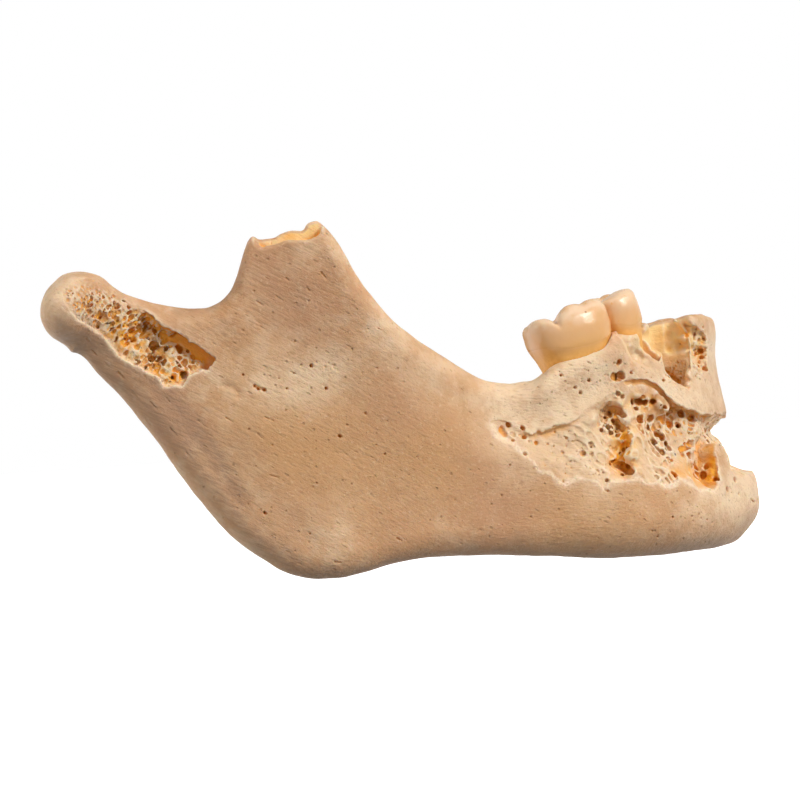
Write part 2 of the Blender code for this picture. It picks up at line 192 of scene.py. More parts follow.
# The edge of a tongue of wall that stands at the patch's right end.
BODY_TONGUE_PX = [(718.5, 485), (719, 472), (718.5, 458), (717, 448), (717.5, 442)]
BODY_TOP_PX = [
    (704, 415), (696, 411.5), (689, 408.5), (681, 407), (675, 402), (668, 396.5), (662, 390),
    (656, 384.5), (646, 380), (635, 379.5), (624, 381), (617, 386), (611, 395), (603, 400), (593, 406),
    (584, 413), (575, 419), (566, 424), (559, 425), (549, 429), (542, 431.5), (537, 430), (532, 434.5),
    (527, 433), (520, 430), (510, 423), (499, 419),
]
# The body's bare patch goes on round the chin: (along, height).
BODY_FRONT_RIM = [
    (-27.0, 13.9), (-26.8, 12.2), (-26.3, 10.7), (-27.6, 9.8), (-30.5, 10.2), (-34, 9.3), (-39, 10.4),
    (-44, 9.8), (-50, 11.6), (-54, 11.4), (-57, 13.6), (-54.5, 16.2), (-50, 16.6), (-46, 18.3),
    (-41, 17.8), (-36, 18.9), (-31, 18.2), (-26.8, 18.6),
]
# The second place is the condyle's neck, where along is over NECK_FROM.
NECK_FROM = 35.0
NECK_RIM_PX = [
    (97, 280), (108, 287), (119, 296), (126, 304), (137, 308.5), (149, 314.5), (156, 321), (171, 329),
    (182, 335), (193, 344), (206, 350), (217, 360), (211, 366), (210, 371.5), (201, 370), (188, 376),
    (183, 386), (177, 385), (166, 386), (161, 379), (147, 371.5), (141, 367), (128.5, 361), (119, 354.5),
    (113, 344), (101, 334), (93, 328), (82, 321), (74, 312), (68, 303), (66, 294), (72, 287), (82, 282),
]
# Parts of those rims: where the floor rises to the wall, and where a pale line or a line of painted shadow
# follows the rim.
BODY_UPPER_RIM = slice(11, None)
FRONT_LOWER_RIM = slice(3, 10)
NECK_SOFT_RIM = slice(0, 8)
BODY_SHADOW_RIMS = (slice(0, 11), slice(16, 24))
NECK_SHADOW_RIM = slice(4, 12)
NECK_LIP = slice(13, 29)
# How far from the rims the floor is at its full depth, and how ragged and wide the lines are.
LOWER_RAMP = 1.3
UPPER_RAMP = 0.45
NECK_RAMP = 1.2
RAGGED_WAVES = ((0.35, 0, 1.1), (0.18, 7, 0.5))
LIP_WIDTH = 0.34
RIM_SHADOW_WIDTH = 0.5
# How deep the bare patches are under the old surface: (picture x, picture y, depth).
BODY_DEPTHS_PX = [
    (502, 431, 0.5), (512, 434, 0.35), (522, 440, 0.4), (536, 441, 0.9), (550, 437, 1.1), (565, 431, 1.0),
    (580, 430, 0.8), (590, 417, 0.3), (577, 424, 0.6), (540, 458, 0.7), (556, 450, 1.2), (575, 445, 1.3),
    (590, 440, 1.3), (556, 466, 0.4), (575, 462, 0.8), (598, 457, 1.2), (585, 472, 0.3), (604, 474, 0.5),
    (598, 404, 0.3), (608, 399, 0.3), (604, 411, 1.4), (611, 408, 1.6), (619, 411, 1.3), (608, 418, 2.6),
    (616, 420, 2.4), (604, 430, 1.9), (612, 432, 2.4), (622, 433, 2.6), (622, 446, 3.0), (617, 465, 2.3),
    (628, 470, 2.7), (629, 418, 0.7), (631, 436, 0.35), (635, 455, 0.35), (638, 472, 0.3),
    (642, 440, 0.9), (646, 460, 0.9), (655, 452, 1.7), (656, 471, 0.9), (640, 424, 1.5), (618, 390, 0.25),
    (628, 386, 0.2), (645, 387, 0.25), (655, 392, 0.3), (640, 393, 0.35), (650, 396, 0.5),
    (663, 401, 0.5), (671, 407, 0.7), (622, 401, 0.4), (630, 407, 0.9), (640, 404, 1.9), (647, 408, 1.5),
    (656, 404, 1.7), (660, 413, 2.0), (660, 421, 2.7), (668, 424, 3.1), (675, 418, 2.6), (682, 413, 2.9),
    (684, 422, 2.6), (697, 422, 1.9), (706, 430, 1.2), (670, 436, 2.0), (662, 440, 2.1), (684, 440, 2.1),
    (690, 452, 2.0), (704, 446, 1.7), (708, 456, 2.4), (714, 450, 3.0), (715, 462, 3.4), (714, 474, 3.4),
    (713, 484, 2.4), (700, 475, 2.2), (684, 468, 1.5), (666, 476, 0.5), (692, 482, 0.5),
]
# Across the front its depth only follows the height: (height, depth), and it fades out to the left:
# (along, share). The front begins at FRONT_FROM and takes over from the side within FRONT_BLEND.
FRONT_FROM = -26.4
FRONT_BLEND = 1.2
FRONT_PROFILE = [
    (9.2, 0.1), (10.0, 0.35), (10.35, 0.9), (10.7, 2.4), (11.4, 2.5), (13.0, 2.0), (14.6, 2.1),
    (16.2, 2.8), (17.2, 1.7), (18.1, 0.7), (18.9, 0.1),
]
FRONT_FADE = [(-58, 0.1), (-54, 0.5), (-50, 0.9), (-46, 1.0), (MIDLINE, 1.0)]
NECK_DEPTHS_PX = [
    (70, 297, 0.1), (76, 306, 0.22), (82, 314, 0.3), (78, 288, 0.08), (84, 298, 0.22), (92, 286, 0.06),
    (90, 306, 0.25), (92, 320, 0.3), (98, 287, 0.05), (106, 295, 0.12), (116, 300, 0.15), (124, 306, 0.3),
    (104, 310, 0.3), (104, 325, 0.4), (116, 314, 0.45), (118, 330, 0.8), (122, 348, 0.6), (134, 318, 1.0),
    (136, 338, 1.3), (134, 355, 0.9), (152, 325, 2.0), (150, 345, 1.5), (150, 365, 1.0), (168, 334, 2.9),
    (170, 352, 1.7), (170, 370, 1.1), (164, 380, 0.5), (186, 345, 3.2), (184, 360, 1.7), (198, 355, 3.0),
    (210, 362, 2.7), (197, 366, 1.6), (186, 372, 1.1), (178, 380, 0.7),
]
# Where the outer wall of the tooth sockets and of the coronoid's tip is broken lower than the inner one.
SOCKET_BREAK_PX = [
    (617.8, 333.9), (628, 335), (637, 334), (639.5, 339), (640, 346), (645, 352), (652, 357.5),
    (659, 360.5), (662.3, 352), (663.7, 361.3), (665.7, 372), (673, 380), (681, 384.8), (689, 388.8),
    (692, 385), (691, 372), (689, 357), (689, 344), (687.8, 334.6), (682.4, 327.9), (674.4, 321),
    (668, 306), (640, 300), (618, 310),
]
FRONT_BREAK_PX = [
    (685, 324), (697, 326), (704, 333), (707, 345), (707, 360), (705.5, 371), (700, 368), (693, 361),
    (691.5, 352), (692, 345), (690, 336),
]
# The floor of those hollows: (picture x, picture y, part y).
SOCKET_FLOORS_PX = [
    (621, 329, -15.0), (629, 328, -15.0), (637, 326, -14.5), (636, 333, -15.0), (642, 331, -13.5),
    (642.5, 342.5, -15.0), (648, 348, -15.2), (653, 353, -15.2), (658, 356, -15.4), (645, 336, -12.6),
    (650, 336, -11.6), (655, 345, -11.4), (660, 327, -9.6), (660, 335, -9.6), (661, 347, -10.0),
    (670, 325, -8.7), (670, 335, -8.6), (670, 348, -8.8), (679, 330, -8.7), (680, 345, -8.6),
    (667, 373, -9.0), (673, 378, -9.0), (679, 382, -9.4), (668, 361, -10.6), (675, 366, -12.0),
    (682, 371, -12.8), (686, 379, -13.6), (689, 385, -14.6), (685, 354, -11.4), (688, 364, -13.0),
    (690, 375, -14.5), (686, 338, -10.5), (690, 328, -9.8), (698, 331, -8.9), (694, 342, -9.6),
    (701, 342, -8.5), (700, 352, -7.9), (703, 362, -8.6), (704, 370, -9.2),
]
# A shallow hollow in front of the second premolar's root, with its own floor.
ROOT_HOLLOW_PX = [
    (619, 334.5), (623, 339), (626, 345), (630, 354.6), (633, 360), (639.6, 364), (647.6, 364),
    (655.6, 364), (659.5, 361.5), (653, 356.5), (645, 351), (641, 346), (641, 338), (639, 331),
    (628, 333),
]
ROOT_HOLLOW_FLOORS_PX = [
    (621, 336, -22.6), (628, 337, -22.2), (636, 336, -21.4), (638, 343, -21.0), (629, 346, -22.2),
    (633, 350, -21.0), (637, 353, -20.0), (641, 357, -19.6), (647, 360, -19.8), (640, 348, -20.8),
    (646, 353.5, -20.6), (653, 358.5, -20.4), (636, 360, -21.0), (645, 362.5, -20.6), (656, 362.5, -20.4),
]
CORONOID_BREAK_PX = [
    (255, 225), (257, 241), (260, 246), (265, 247.5), (272, 246), (278, 244), (284, 241.5), (290, 239.5),
    (298, 240.5), (306, 240.5), (312, 239), (317, 237), (321, 233), (324, 215), (290, 205),
]

# Tooth sockets: (side, along, reach, half length, half width, bottom, taper).
SOCKETS = [
    (RIGHT, -15.4, 19.4, 1.9, 3.0, 23.0, 0.5),
    (RIGHT, -21.6, 18.4, 2.5, 3.5, 20.0, 0.45),
    (RIGHT, -28.2, 17.4, 1.7, 2.5, 24.5, 0.5),
    (RIGHT, -34.0, 17.2, 1.5, 2.3, 25.5, 0.5),
    (LEFT, -34.0, 17.2, 1.5, 2.3, 25.0, 0.5),
    (LEFT, -28.4, 17.4, 1.8, 2.6, 24.0, 0.5),
    (LEFT, -21.6, 18.2, 2.3, 3.2, 21.5, 0.45),
    (LEFT, -14.2, 19.2, 2.2, 2.9, 22.5, 0.45),
    (LEFT, -7.6, 20.5, 2.2, 3.1, 21.5, 0.45),
    (LEFT, -1.6, 22.3, 2.0, 3.4, 19.8, 0.4),
    (LEFT, 3.4, 23.8, 2.0, 3.0, 19.8, 0.4),
]
# The height at which sockets are widest, and the hollow in the broken tip of each coronoid.
SOCKET_TOP = 31.0
TROUGH_CENTRE = (-13.6, 42.9, 47.6)
TROUGH_HALF_SIZES = (4.6, 1.15, 2.4)
# Holes for the nerve: (inner end, outer end, radius).
NERVE_HOLES = [
    ((-13.2, -40.9, 22.0), (-15.4, -36.6, 25.6), 1.45),
    ((-13.2, 40.9, 22.0), (-15.4, 36.6, 25.6), 1.45),
    ((31.2, 24.6, 14.2), (27.6, 29.9, 15.6), 1.25),
]

# Pores seen in the picture: (x, y, radius), in pixels.
WALL_PORES_PX = [
    (614, 376.7, 5.0), (621.5, 375.4, 5.0), (617.5, 378.5, 3.6), (619.5, 362, 3.6), (614, 363, 1.1),
    (631.5, 372.7, 1.8), (651.3, 377.4, 1.1), (663.7, 380, 1.8), (606, 366, 1.0), (581.6, 381.7, 1.0),
    (568, 384, 0.9), (243, 374.5, 1.6), (561, 375.4, 1.9), (559.2, 371.4, 1.1), (589, 380.4, 2.3),
    (575, 387.5, 1.9), (580.2, 393, 2.2), (588, 371, 1.2), (596, 369, 1.0), (618, 393, 1.9),
    (622, 397, 1.7), (607, 480.6, 2.4), (607.7, 491, 1.5), (563.7, 482, 1.2), (510, 465, 1.4),
    (501.6, 495.5, 1.2), (491.6, 504, 1.1), (530, 491, 1.0), (630, 501, 1.1), (530.6, 517, 1.2),
    (672.7, 517, 1.6), (652, 531, 1.4), (658, 536.6, 1.4), (753, 500.6, 1.3), (692, 516, 1.3),
    (699, 514, 1.1), (697, 507, 1.0), (701, 518, 1.1), (707, 519.5, 1.2), (712, 522.6, 1.1),
    (693, 521, 1.0), (719, 503, 1.1), (665.6, 494, 1.0), (731.5, 493, 1.0), (725, 495, 0.9),
    (670, 532, 1.0), (290, 264, 1.0), (334, 267, 1.1), (308.6, 301, 1.1), (296, 303, 1.0),
    (254, 291, 1.1), (273, 313, 1.0), (243, 330, 1.2), (295, 341, 1.1), (316, 348, 1.0), (352, 349, 1.3),
    (368, 329, 1.1), (311, 366, 2.2), (301, 365, 1.3), (316, 362, 1.1), (377, 368, 1.1), (362, 373, 1.0),
    (294, 373, 1.0), (243, 375, 1.1), (279, 378, 1.1), (255, 386, 1.8), (258.6, 388.8, 2.3),
    (264, 390, 2.3), (287, 388.6, 1.6), (326, 388, 2.0), (365, 413, 1.4), (404, 382, 1.0),
    (286, 410, 1.2), (249, 429, 1.2), (272, 445, 1.1), (340, 436, 2.0), (347, 425, 1.2), (366, 414, 1.1),
    (387, 421, 1.1), (304, 452, 1.0), (316, 449, 1.0), (376, 445, 1.1), (385, 454, 1.5), (417, 457, 1.1),
    (408, 437.5, 1.0), (236, 475, 1.0), (316.5, 483, 1.2), (313, 487, 1.0), (351.5, 484, 1.0),
    (375, 476, 1.0), (409, 475, 1.0), (248, 504, 1.0), (264.5, 512.6, 1.9), (272, 536, 1.1),
    (310, 533.6, 1.3), (353, 508, 1.0), (295, 551, 1.0), (204, 487, 1.1), (271, 243.5, 1.0),
    (264, 375, 1.0), (270, 376, 1.0), (508, 424.5, 1.7), (522, 427, 2.0), (512, 440, 1.4),
    (525, 437, 1.7), (525, 454, 2.0), (545, 484, 0.9), (582, 497, 0.9), (470, 470, 0.9), (455, 500, 0.9),
    (440, 445, 0.9), (480, 530, 0.9), (430, 520, 0.9), (600, 520, 0.9), (560, 535, 0.9), (640, 515, 0.9),
]
# Pores wider than this, in millimetres, get a few smaller bites at their edge.
NIBBLED_FROM = 0.2
NIBBLES = 3
# Short slits: (x0, y0, x1, y1, radius), in pixels.
SLITS_PX = [
    (321, 272, 326, 278, 1.0), (286, 278, 289, 281, 0.9), (307, 287, 310, 292, 0.9),
    (276, 296, 282.5, 300.5, 0.8), (256.5, 301, 264, 306, 0.9), (255, 320, 259, 323, 0.7),
    (260, 326, 264, 329, 0.7), (378, 328, 383, 331, 0.8), (290, 371.5, 297, 374.5, 0.8),
    (264.5, 417, 274, 421, 0.9), (254.5, 386, 265, 390, 1.9), (225, 417, 233, 422, 0.9),
    (257, 433, 263, 439, 0.8), (270, 475, 279, 477.5, 0.9), (397, 538, 402, 541, 1.0),
    (335, 562, 341, 563, 1.2), (335, 452, 346, 454, 0.5), (346, 454, 354, 463, 0.5),
    (751, 499, 755, 502.5, 1.1), (605, 490, 610, 491.5, 1.0), (118, 372, 124, 378, 0.9),
    (92, 350, 97, 356, 0.9), (86, 338, 90, 343, 0.8), (132, 392, 139, 400, 0.8),
    (150, 402, 157, 409, 0.8), (146, 420, 152, 427, 0.8), (170, 428, 177, 436, 0.8),
    (104, 362, 109, 367, 0.7), (186, 452, 192, 459, 0.7), (166, 398, 172, 404, 0.7),
    (198, 420, 206, 427, 0.7),
]
# Pores inside the bare patches: (x, y, radius, depth), the first three in pixels, the last in millimetres.
PATCH_PORES_PX = [
    (608.5, 415, 2.4, 2.2), (608, 427.5, 2.2, 1.8), (601.5, 430, 1.8, 1.3), (613, 421, 2.0, 1.6),
    (611.3, 433, 2.4, 1.3), (618, 427, 1.6, 1.4), (603, 413, 1.6, 1.2), (607.5, 410, 1.6, 1.2),
    (612.5, 411.5, 1.9, 1.3), (618, 412.5, 1.6, 1.2), (621.5, 416, 1.4, 1.0), (605.5, 417.5, 1.5, 1.1),
    (615, 416, 1.4, 1.0), (626.4, 467, 3.0, 2.2), (632.5, 472, 2.6, 2.2), (622, 474.5, 2.0, 1.8),
    (610.5, 464, 1.5, 1.4), (613, 462, 1.6, 1.5), (615.5, 460, 1.3, 1.4), (640, 419, 4.4, 1.5),
    (651, 418.5, 3.4, 0.8), (664, 420, 5.0, 0.8), (670, 424, 4.6, 1.1), (678, 426, 2.2, 2.2),
    (681, 414, 4.2, 1.4), (691, 418, 4.0, 0.6), (657, 434, 3.4, 1.6), (662, 437, 3.4, 1.6),
    (653, 442, 3.4, 1.0), (666, 443.5, 2.2, 1.5), (662, 452.6, 3.6, 1.2), (690.5, 444, 3.8, 0.9),
    (681, 450, 4.0, 0.7), (683, 455, 2.8, 0.7), (672, 460, 2.0, 0.7), (675, 474, 3.4, 1.7),
    (703, 475, 4.6, 1.0), (706, 467, 3.4, 0.8), (715.5, 479, 3.2, 1.4), (665, 463, 2.6, 0.6),
    (583, 453.3, 4.0, 0.4), (591.4, 444, 3.0, 0.25), (502, 430.5, 5.2, 0.12), (504.5, 434, 4.6, 0.12),
    (508, 425, 2.6, 0.7), (523, 428, 2.2, 0.8), (524.4, 437, 2.6, 0.6), (513, 440.4, 1.8, 0.4),
    (536, 442.8, 2.4, 0.3), (525.4, 453.8, 1.8, 0.4), (632, 402, 3.4, 2.0), (638, 401, 4.2, 2.4),
    (645, 402.5, 3.6, 2.4), (652.6, 401.5, 3.0, 1.8), (665, 407, 2.0, 1.2), (661, 405.5, 1.2, 0.8),
    (669.5, 409, 1.2, 0.8), (618.5, 394, 2.6, 0.9), (622.5, 397, 2.0, 0.7), (154, 346, 5.4, 1.6),
    (151.5, 358, 4.2, 1.4), (157, 364, 2.8, 1.1), (179.4, 349.7, 4.0, 1.4), (184, 375, 4.0, 1.3),
    (172.7, 377.6, 2.4, 1.0), (643, 432, 1.6, 0.6), (648, 429, 1.4, 0.6), (688, 334.5, 2.6, 1.0),
    (703.7, 339.5, 2.0, 0.9), (700.5, 351, 3.2, 1.0), (701, 357, 2.6, 0.9), (690.5, 349, 2.4, 0.7),
    (704.5, 368, 2.8, 1.0), (693.5, 363.5, 1.3, 0.7), (698.5, 366, 1.3, 0.7),
]
# Spongy bone, where round cells are left between thin walls: (x, y, spread across, spread down), in pixels,
# then cell size, wall, depth, stretch, the stretch's lean in degrees, and how much of the space they fill.
FOAM_PX = [
    (80, 301, 15, 15, 0.6, 0.14, 0.3, 1.2, 30, 0.44), (100, 310, 22, 18, 0.68, 0.13, 0.5, 1.3, 30, 0.48),
    (120, 324, 24, 22, 0.76, 0.12, 0.9, 1.5, 35, 0.52), (144, 346, 24, 26, 0.9, 0.14, 1.1, 1.3, 30, 0.52),
    (170, 366, 26, 18, 0.95, 0.14, 1.0, 1.2, 30, 0.5), (140, 326, 22, 12, 0.85, 0.14, 1.1, 2.2, 35, 0.5),
    (160, 340, 18, 10, 0.9, 0.15, 1.0, 2.2, 35, 0.5), (200, 368, 14, 8, 0.7, 0.16, 0.6, 1.0, 0, 0.42),
    (610, 420, 14, 17, 0.62, 0.13, 1.0, 1.2, 60, 0.48), (622, 448, 9, 26, 0.9, 0.16, 1.0, 1.3, 60, 0.42),
    (640, 404, 18, 7, 1.0, 0.24, 0.5, 1.2, 0, 0.4), (664, 424, 26, 14, 1.15, 0.2, 0.5, 1.2, -30, 0.52),
    (694, 424, 20, 12, 0.9, 0.16, 0.7, 1.2, 0, 0.5), (664, 446, 16, 20, 1.15, 0.26, 0.5, 1.3, -60, 0.5),
    (694, 452, 26, 20, 1.4, 0.24, 0.7, 1.3, -60, 0.54), (700, 476, 20, 13, 1.2, 0.2, 0.8, 1.4, -50, 0.56),
    (518, 436, 18, 9, 0.9, 0.26, 0.35, 1.2, -30, 0.48), (604, 396, 14, 8, 0.7, 0.2, 0.3, 1.0, 0, 0.5),
    (664, 474, 20, 9, 0.9, 0.26, 0.4, 1.6, -50, 0.52), (648, 446, 12, 26, 1.0, 0.3, 0.25, 2.2, -60, 0.5),
    (590, 452, 30, 20, 1.3, 0.3, 0.22, 2.4, -34, 0.5),
]
# The same in a patch of the socket wall's end, cut through its face.
FOAM_SOCKET_PX = [
    (697, 346, 8, 22, 0.75, 0.16, 0.6, 1.2, 70, 0.45), (676, 374, 10, 9, 0.5, 0.12, 0.3, 1.2, -30, 0.5),
]
# A cleft and the groove under the arch, as chains: (x, y, radius in pixels, and how far in, in mm).
CLEFT_PX = [
    (617, 422, 2.6, 0.4), (621, 427, 3.4, 0.4), (624, 434, 2.8, 0.3), (627, 441, 3.0, 0.3),
    (624, 447, 3.4, 0.3), (620, 454, 2.8, 0.3), (621, 460, 3.4, 0.4), (616, 464, 3.0, 0.6),
    (625, 467, 4.6, 0.9), (630, 472, 4.2, 1.1),
]
# How quickly a chain's joints wander, along each axis.
CHAIN_WAVES = (7.0, 3.0, 5.0)
CLUSTER_PX = [
    (601.5, 420, 2.6, 0.5), (602.5, 414, 3.2, 0.8), (607, 410.5, 3.4, 1.0), (613, 409, 3.4, 1.1),
    (618.5, 411, 3.2, 0.9), (624, 416, 2.4, 0.6),
]
ARCH_PX = [
    (626, 383, 1.3, 0.1), (635, 381.8, 1.9, 0.2), (646, 382.4, 2.0, 0.25), (655, 386.6, 2.0, 0.25),
    (661, 392.4, 2.0, 0.25), (667, 398.4, 2.0, 0.25), (673, 404, 2.0, 0.3), (680, 409, 2.0, 0.3),
    (688, 411, 1.9, 0.3), (696, 414, 1.5, 0.2),
]
# The same past the picture's sight, round the chin: (along, height, spreads), in millimetres.
FOAM_FRONT = [
    (-31, 14.2, 5, 4.6, 1.2, 0.22, 0.8, 1.2, 20, 0.52),
    (-37.5, 14.2, 6.5, 4.6, 1.25, 0.24, 0.9, 1.2, 20, 0.5),
    (-46, 14.2, 8, 4.4, 1.1, 0.22, 0.9, 1.2, -20, 0.5), (-54, 14, 5, 2.2, 0.9, 0.2, 0.6, 1.0, 0, 0.48),
]
# Where pores lie past the picture's sight: (along from, along to, on the inner face, how many).
FAR_PORE_RADII = (0.2, 0.42)
FAR_PORES = [
    (2 * MIDLINE - 50, 2 * MIDLINE - 2, False, 44), (2 * MIDLINE, -24, False, 26),
    (2 * MIDLINE - 45, 2 * MIDLINE - 4, True, 24), (4, 45, True, 24), (2 * MIDLINE, 0, True, 22),
]
# How near to each other small pores may be, in radii, and how often a place is tried for.
PORE_GAP = 0.75
PORE_TRIES = 6
# Small pores of a thin wall: (x, y, spread across, spread down), in pixels, least and largest radius in
# millimetres, number and depth.
SPONGE_PX = [
    (700, 350, 10, 22, 0.12, 0.24, 26, 0.3), (676, 372, 12, 10, 0.1, 0.22, 26, 0.3),
    (640, 375, 40, 10, 0.09, 0.15, 26, 0.12), (600, 386, 22, 14, 0.09, 0.16, 30, 0.12),
    (572, 470, 40, 10, 0.1, 0.2, 26, 0.2), (570, 446, 34, 16, 0.1, 0.24, 20, 0.25),
    (330, 368, 8, 8, 0.1, 0.2, 16, 0.06), (706, 380, 10, 40, 0.08, 0.14, 30, 0.12),
]

# Teeth, each in its own frame: X towards the chin along the arch, Y to the tongue, Z up, and 0 at the neck.
# Body rows: (height, half length, half thickness). Root rows: (height, shift, half length, half thickness).
MOLAR_BODY = [
    (-3.6, 4.5, 3.9), (-1.6, 4.75, 4.25), (-0.3, 5.05, 4.6), (1.0, 5.45, 5.0), (2.6, 5.7, 5.15),
    (4.2, 5.7, 4.9), (5.4, 5.55, 4.5), (6.4, 5.35, 4.1),
]
MOLAR_ROOT = [
    (-9.8, 2.5, 0.25, 0.5), (-9.0, 2.6, 0.8, 1.3), (-7.6, 2.7, 1.3, 2.2), (-5.5, 2.7, 1.6, 2.9),
    (-3.0, 2.4, 1.85, 3.5), (-1.0, 2.1, 1.9, 3.6),
]
# Cusps: (x, y, height over the chewing face, spread).
# Grooves on the chewing face: (x0, y0, x1, y1, depth, width). Neck: (x, height).
MOLAR_TOP = 4.5
MOLAR_CUSPS = [
    (3.4, -2.6, 1.5, 2.6), (0.2, -3.0, 1.62, 2.2), (-5.0, -2.3, 1.05, 2.2), (-4.8, 0.6, 0.7, 1.6),
    (3.0, 2.7, 1.2, 2.2), (-2.6, 2.8, 0.9, 2.0),
]
MOLAR_GROOVES = [
    (-2.75, -6.0, -2.4, -1.4, 0.6, 0.5), (-4.6, 0.6, 4.4, 0.1, 0.45, 0.6),
    (-0.5, 0.0, -0.3, 5.2, 0.5, 0.5), (3.4, -0.6, 4.6, 1.2, 0.25, 0.4),
]
MOLAR_NECK = [(-6, 0.7), (-4, 0.1), (-2, -0.55), (1, -0.8), (3.5, -0.7), (6, 0.1)]
PREMOLAR_BODY = [
    (-3.0, 2.3, 3.0), (-1.5, 2.5, 3.2), (0.0, 2.75, 3.5), (1.7, 3.05, 3.85), (3.4, 2.95, 3.9),
    (4.9, 2.75, 3.65), (6.2, 2.5, 3.2),
]
PREMOLAR_ROOT = [
    (-11.0, 0.0, 0.2, 0.3), (-10.2, 0.0, 0.7, 0.9), (-8, 0.0, 1.4, 1.7), (-4.5, 0.0, 1.95, 2.5),
    (-0.8, 0.0, 2.3, 3.0),
]
PREMOLAR_TOP = 4.9
PREMOLAR_CUSPS = [(1.3, -1.6, 1.0, 2.6), (0.9, 2.0, 0.8, 1.6), (-1.0, 1.9, 0.6, 1.3)]
PREMOLAR_GROOVES = [(-2.4, 0.2, 2.4, 0.1, 0.45, 0.5), (0.0, 0.0, 0.2, 2.8, 0.25, 0.4)]
PREMOLAR_NECK = [(-3, 0.5), (0, -0.2), (3, 0.5)]
MOLAR_PLACE = (23.95, -21.9, 28.5)
MOLAR_TURN = (-4.0, -13.0, 22.0)
PREMOLAR_PLACE = (30.2, -17.2, 30.2)
PREMOLAR_TURN = (-5.0, -8.0, 36.0)
# Body, roots, which way each root leans, height and edge of the top, cusps, grooves and neck.
MOLAR = (MOLAR_BODY, MOLAR_ROOT, (1, -1), MOLAR_TOP, 0.95, MOLAR_CUSPS, MOLAR_GROOVES, MOLAR_NECK)
PREMOLAR = (
    PREMOLAR_BODY, PREMOLAR_ROOT, (1,), PREMOLAR_TOP, 0.6, PREMOLAR_CUSPS, PREMOLAR_GROOVES, PREMOLAR_NECK,
)
TEETH = [
    ("first_molar", MOLAR, MOLAR_PLACE, MOLAR_TURN),
    ("second_premolar", PREMOLAR, PREMOLAR_PLACE, PREMOLAR_TURN),
]
SOCKET_GAP = 0.12
ENAMEL = 0.12
BODY_SQUARENESS = 2.56
ROOT_SQUARENESS = 2.2
TOOTH_BOX = ((-7, -7, -12), (7, 7, 8))
TOOTH_STEP = 0.12
TOOTH_BELOW = 13
TOOTH_ABOVE = 9
TOOTH_TRIANGLES = 24000

# The world is white all round near the horizon and darker below and above:
# (height from, to, strength from, to).
WORLD_RAMPS = [(-0.3, -0.1, 0.1, 1.0), (0.12, 0.35, 1.0, 0.38)]
# Lamps: name, place, size, power and colour. Places and sizes here and of the floor are in metres.
LIGHTS = [
    ("key", (0.85, -0.6, 0.75), 0.45, 10.4, (1.0, 0.965, 0.91)),
    ("edge", (-1.0, -0.25, 0.2), 0.5, 2.8, (1.0, 0.96, 0.88)),
    ("top", (0.1, -0.1, 1.0), 0.5, 1.0, (1.0, 1.0, 1.0)),
]
LIGHT_AIM = (0, 0, 0.02)
CAMERA_CLIP = 20
FLOOR_HALF = 12.0
FLOOR_DROP = 0.0001
FLOOR_GLOW = 0.95

# The bone's four pieces: name, lower and upper corner, grid step, most triangles, and where each is cut off
# from its neighbours: (axis, value, the side that is kept, whether it tucks in under the neighbour).
FAR = 1.2
OVERLAP = 0.4
TUCK = 0.09
CUT_X = 9.0
CUT_Y = 6.0
BLOCK_MARGIN = 1.8
BLOCKS = [
    ("bone_right_body", (CUT_X - BLOCK_MARGIN, -38, -1), (48.8, CUT_Y + BLOCK_MARGIN, 34), 0.145, 195000,
     ((0, CUT_X - OVERLAP, 1, False), (1, CUT_Y + OVERLAP, -1, False))),
    ("bone_right_ramus", (-49, -59, -1), (CUT_X + BLOCK_MARGIN, -24, 50), 0.15, 195000,
     ((0, CUT_X + OVERLAP, -1, True),)),
    ("bone_left_body", (CUT_X - BLOCK_MARGIN, CUT_Y - BLOCK_MARGIN, -1), (48.8, 38, 34), 0.19, 150000,
     ((0, CUT_X - OVERLAP, 1, False), (1, CUT_Y - OVERLAP, 1, True))),
    ("bone_left_ramus", (-49, 24, -1), (CUT_X + BLOCK_MARGIN, 59, 50), 0.22, 120000,
     ((0, CUT_X + OVERLAP, -1, True),)),
]
FILL_CHUNK = 400000
# How the surface is found from outside, and the step over which its slope is taken.
OUTSIDE_REACH = 62.0
SIGHT_STEPS = 70
SLOPE_STEP = 0.12
# How close to a point the bone is felt for the tints of pits and of wide hollows.
PIT_SIZE = 0.4
HOLLOW_SIZE = 1.1

# Soft tints on the bone: (x, y, spread), in pixels, and strength.
GOLDEN_PX = [
    (335, 470, 75, 0.75), (430, 450, 50, 0.6), (250, 420, 44, 0.5), (560, 515, 60, 0.8),
    (460, 490, 44, 0.4), (640, 515, 50, 0.5), (230, 350, 30, 0.35), (360, 400, 40, 0.4),
    (290, 440, 40, 0.5), (400, 545, 30, 0.6), (450, 430, 40, 0.4),
]
# Pale spots: partly cream patches of the bone, partly painted highlight on the tops and edges that face the
# lamps, and on the back border's outer rim.
PALE_AND_HIGHLIGHT_PX = [
    (300, 380, 30, 0.7), (335, 372, 24, 0.5), (262, 386, 24, 0.5), (335, 532, 24, 0.4),
    (385, 330, 26, 0.6), (430, 370, 26, 0.4), (510, 395, 34, 1.0), (530, 408, 30, 1.0),
    (560, 390, 42, 1.0), (588, 366, 32, 1.0), (540, 406, 26, 0.9), (664, 378, 26, 0.7),
    (690, 400, 30, 0.9), (712, 350, 18, 1.0), (745, 490, 26, 1.0), (715, 500, 26, 0.6),
    (56, 300, 20, 0.9), (72, 277, 16, 0.5), (178, 472, 10, 0.4), (212, 512, 10, 0.4), (246, 546, 10, 0.5),
    (215, 375, 16, 0.4), (345, 255, 16, 0.4), (310, 242, 18, 0.4), (505, 435, 20, 0.3),
    (596, 488, 26, 0.4), (520, 470, 20, 0.3),
]
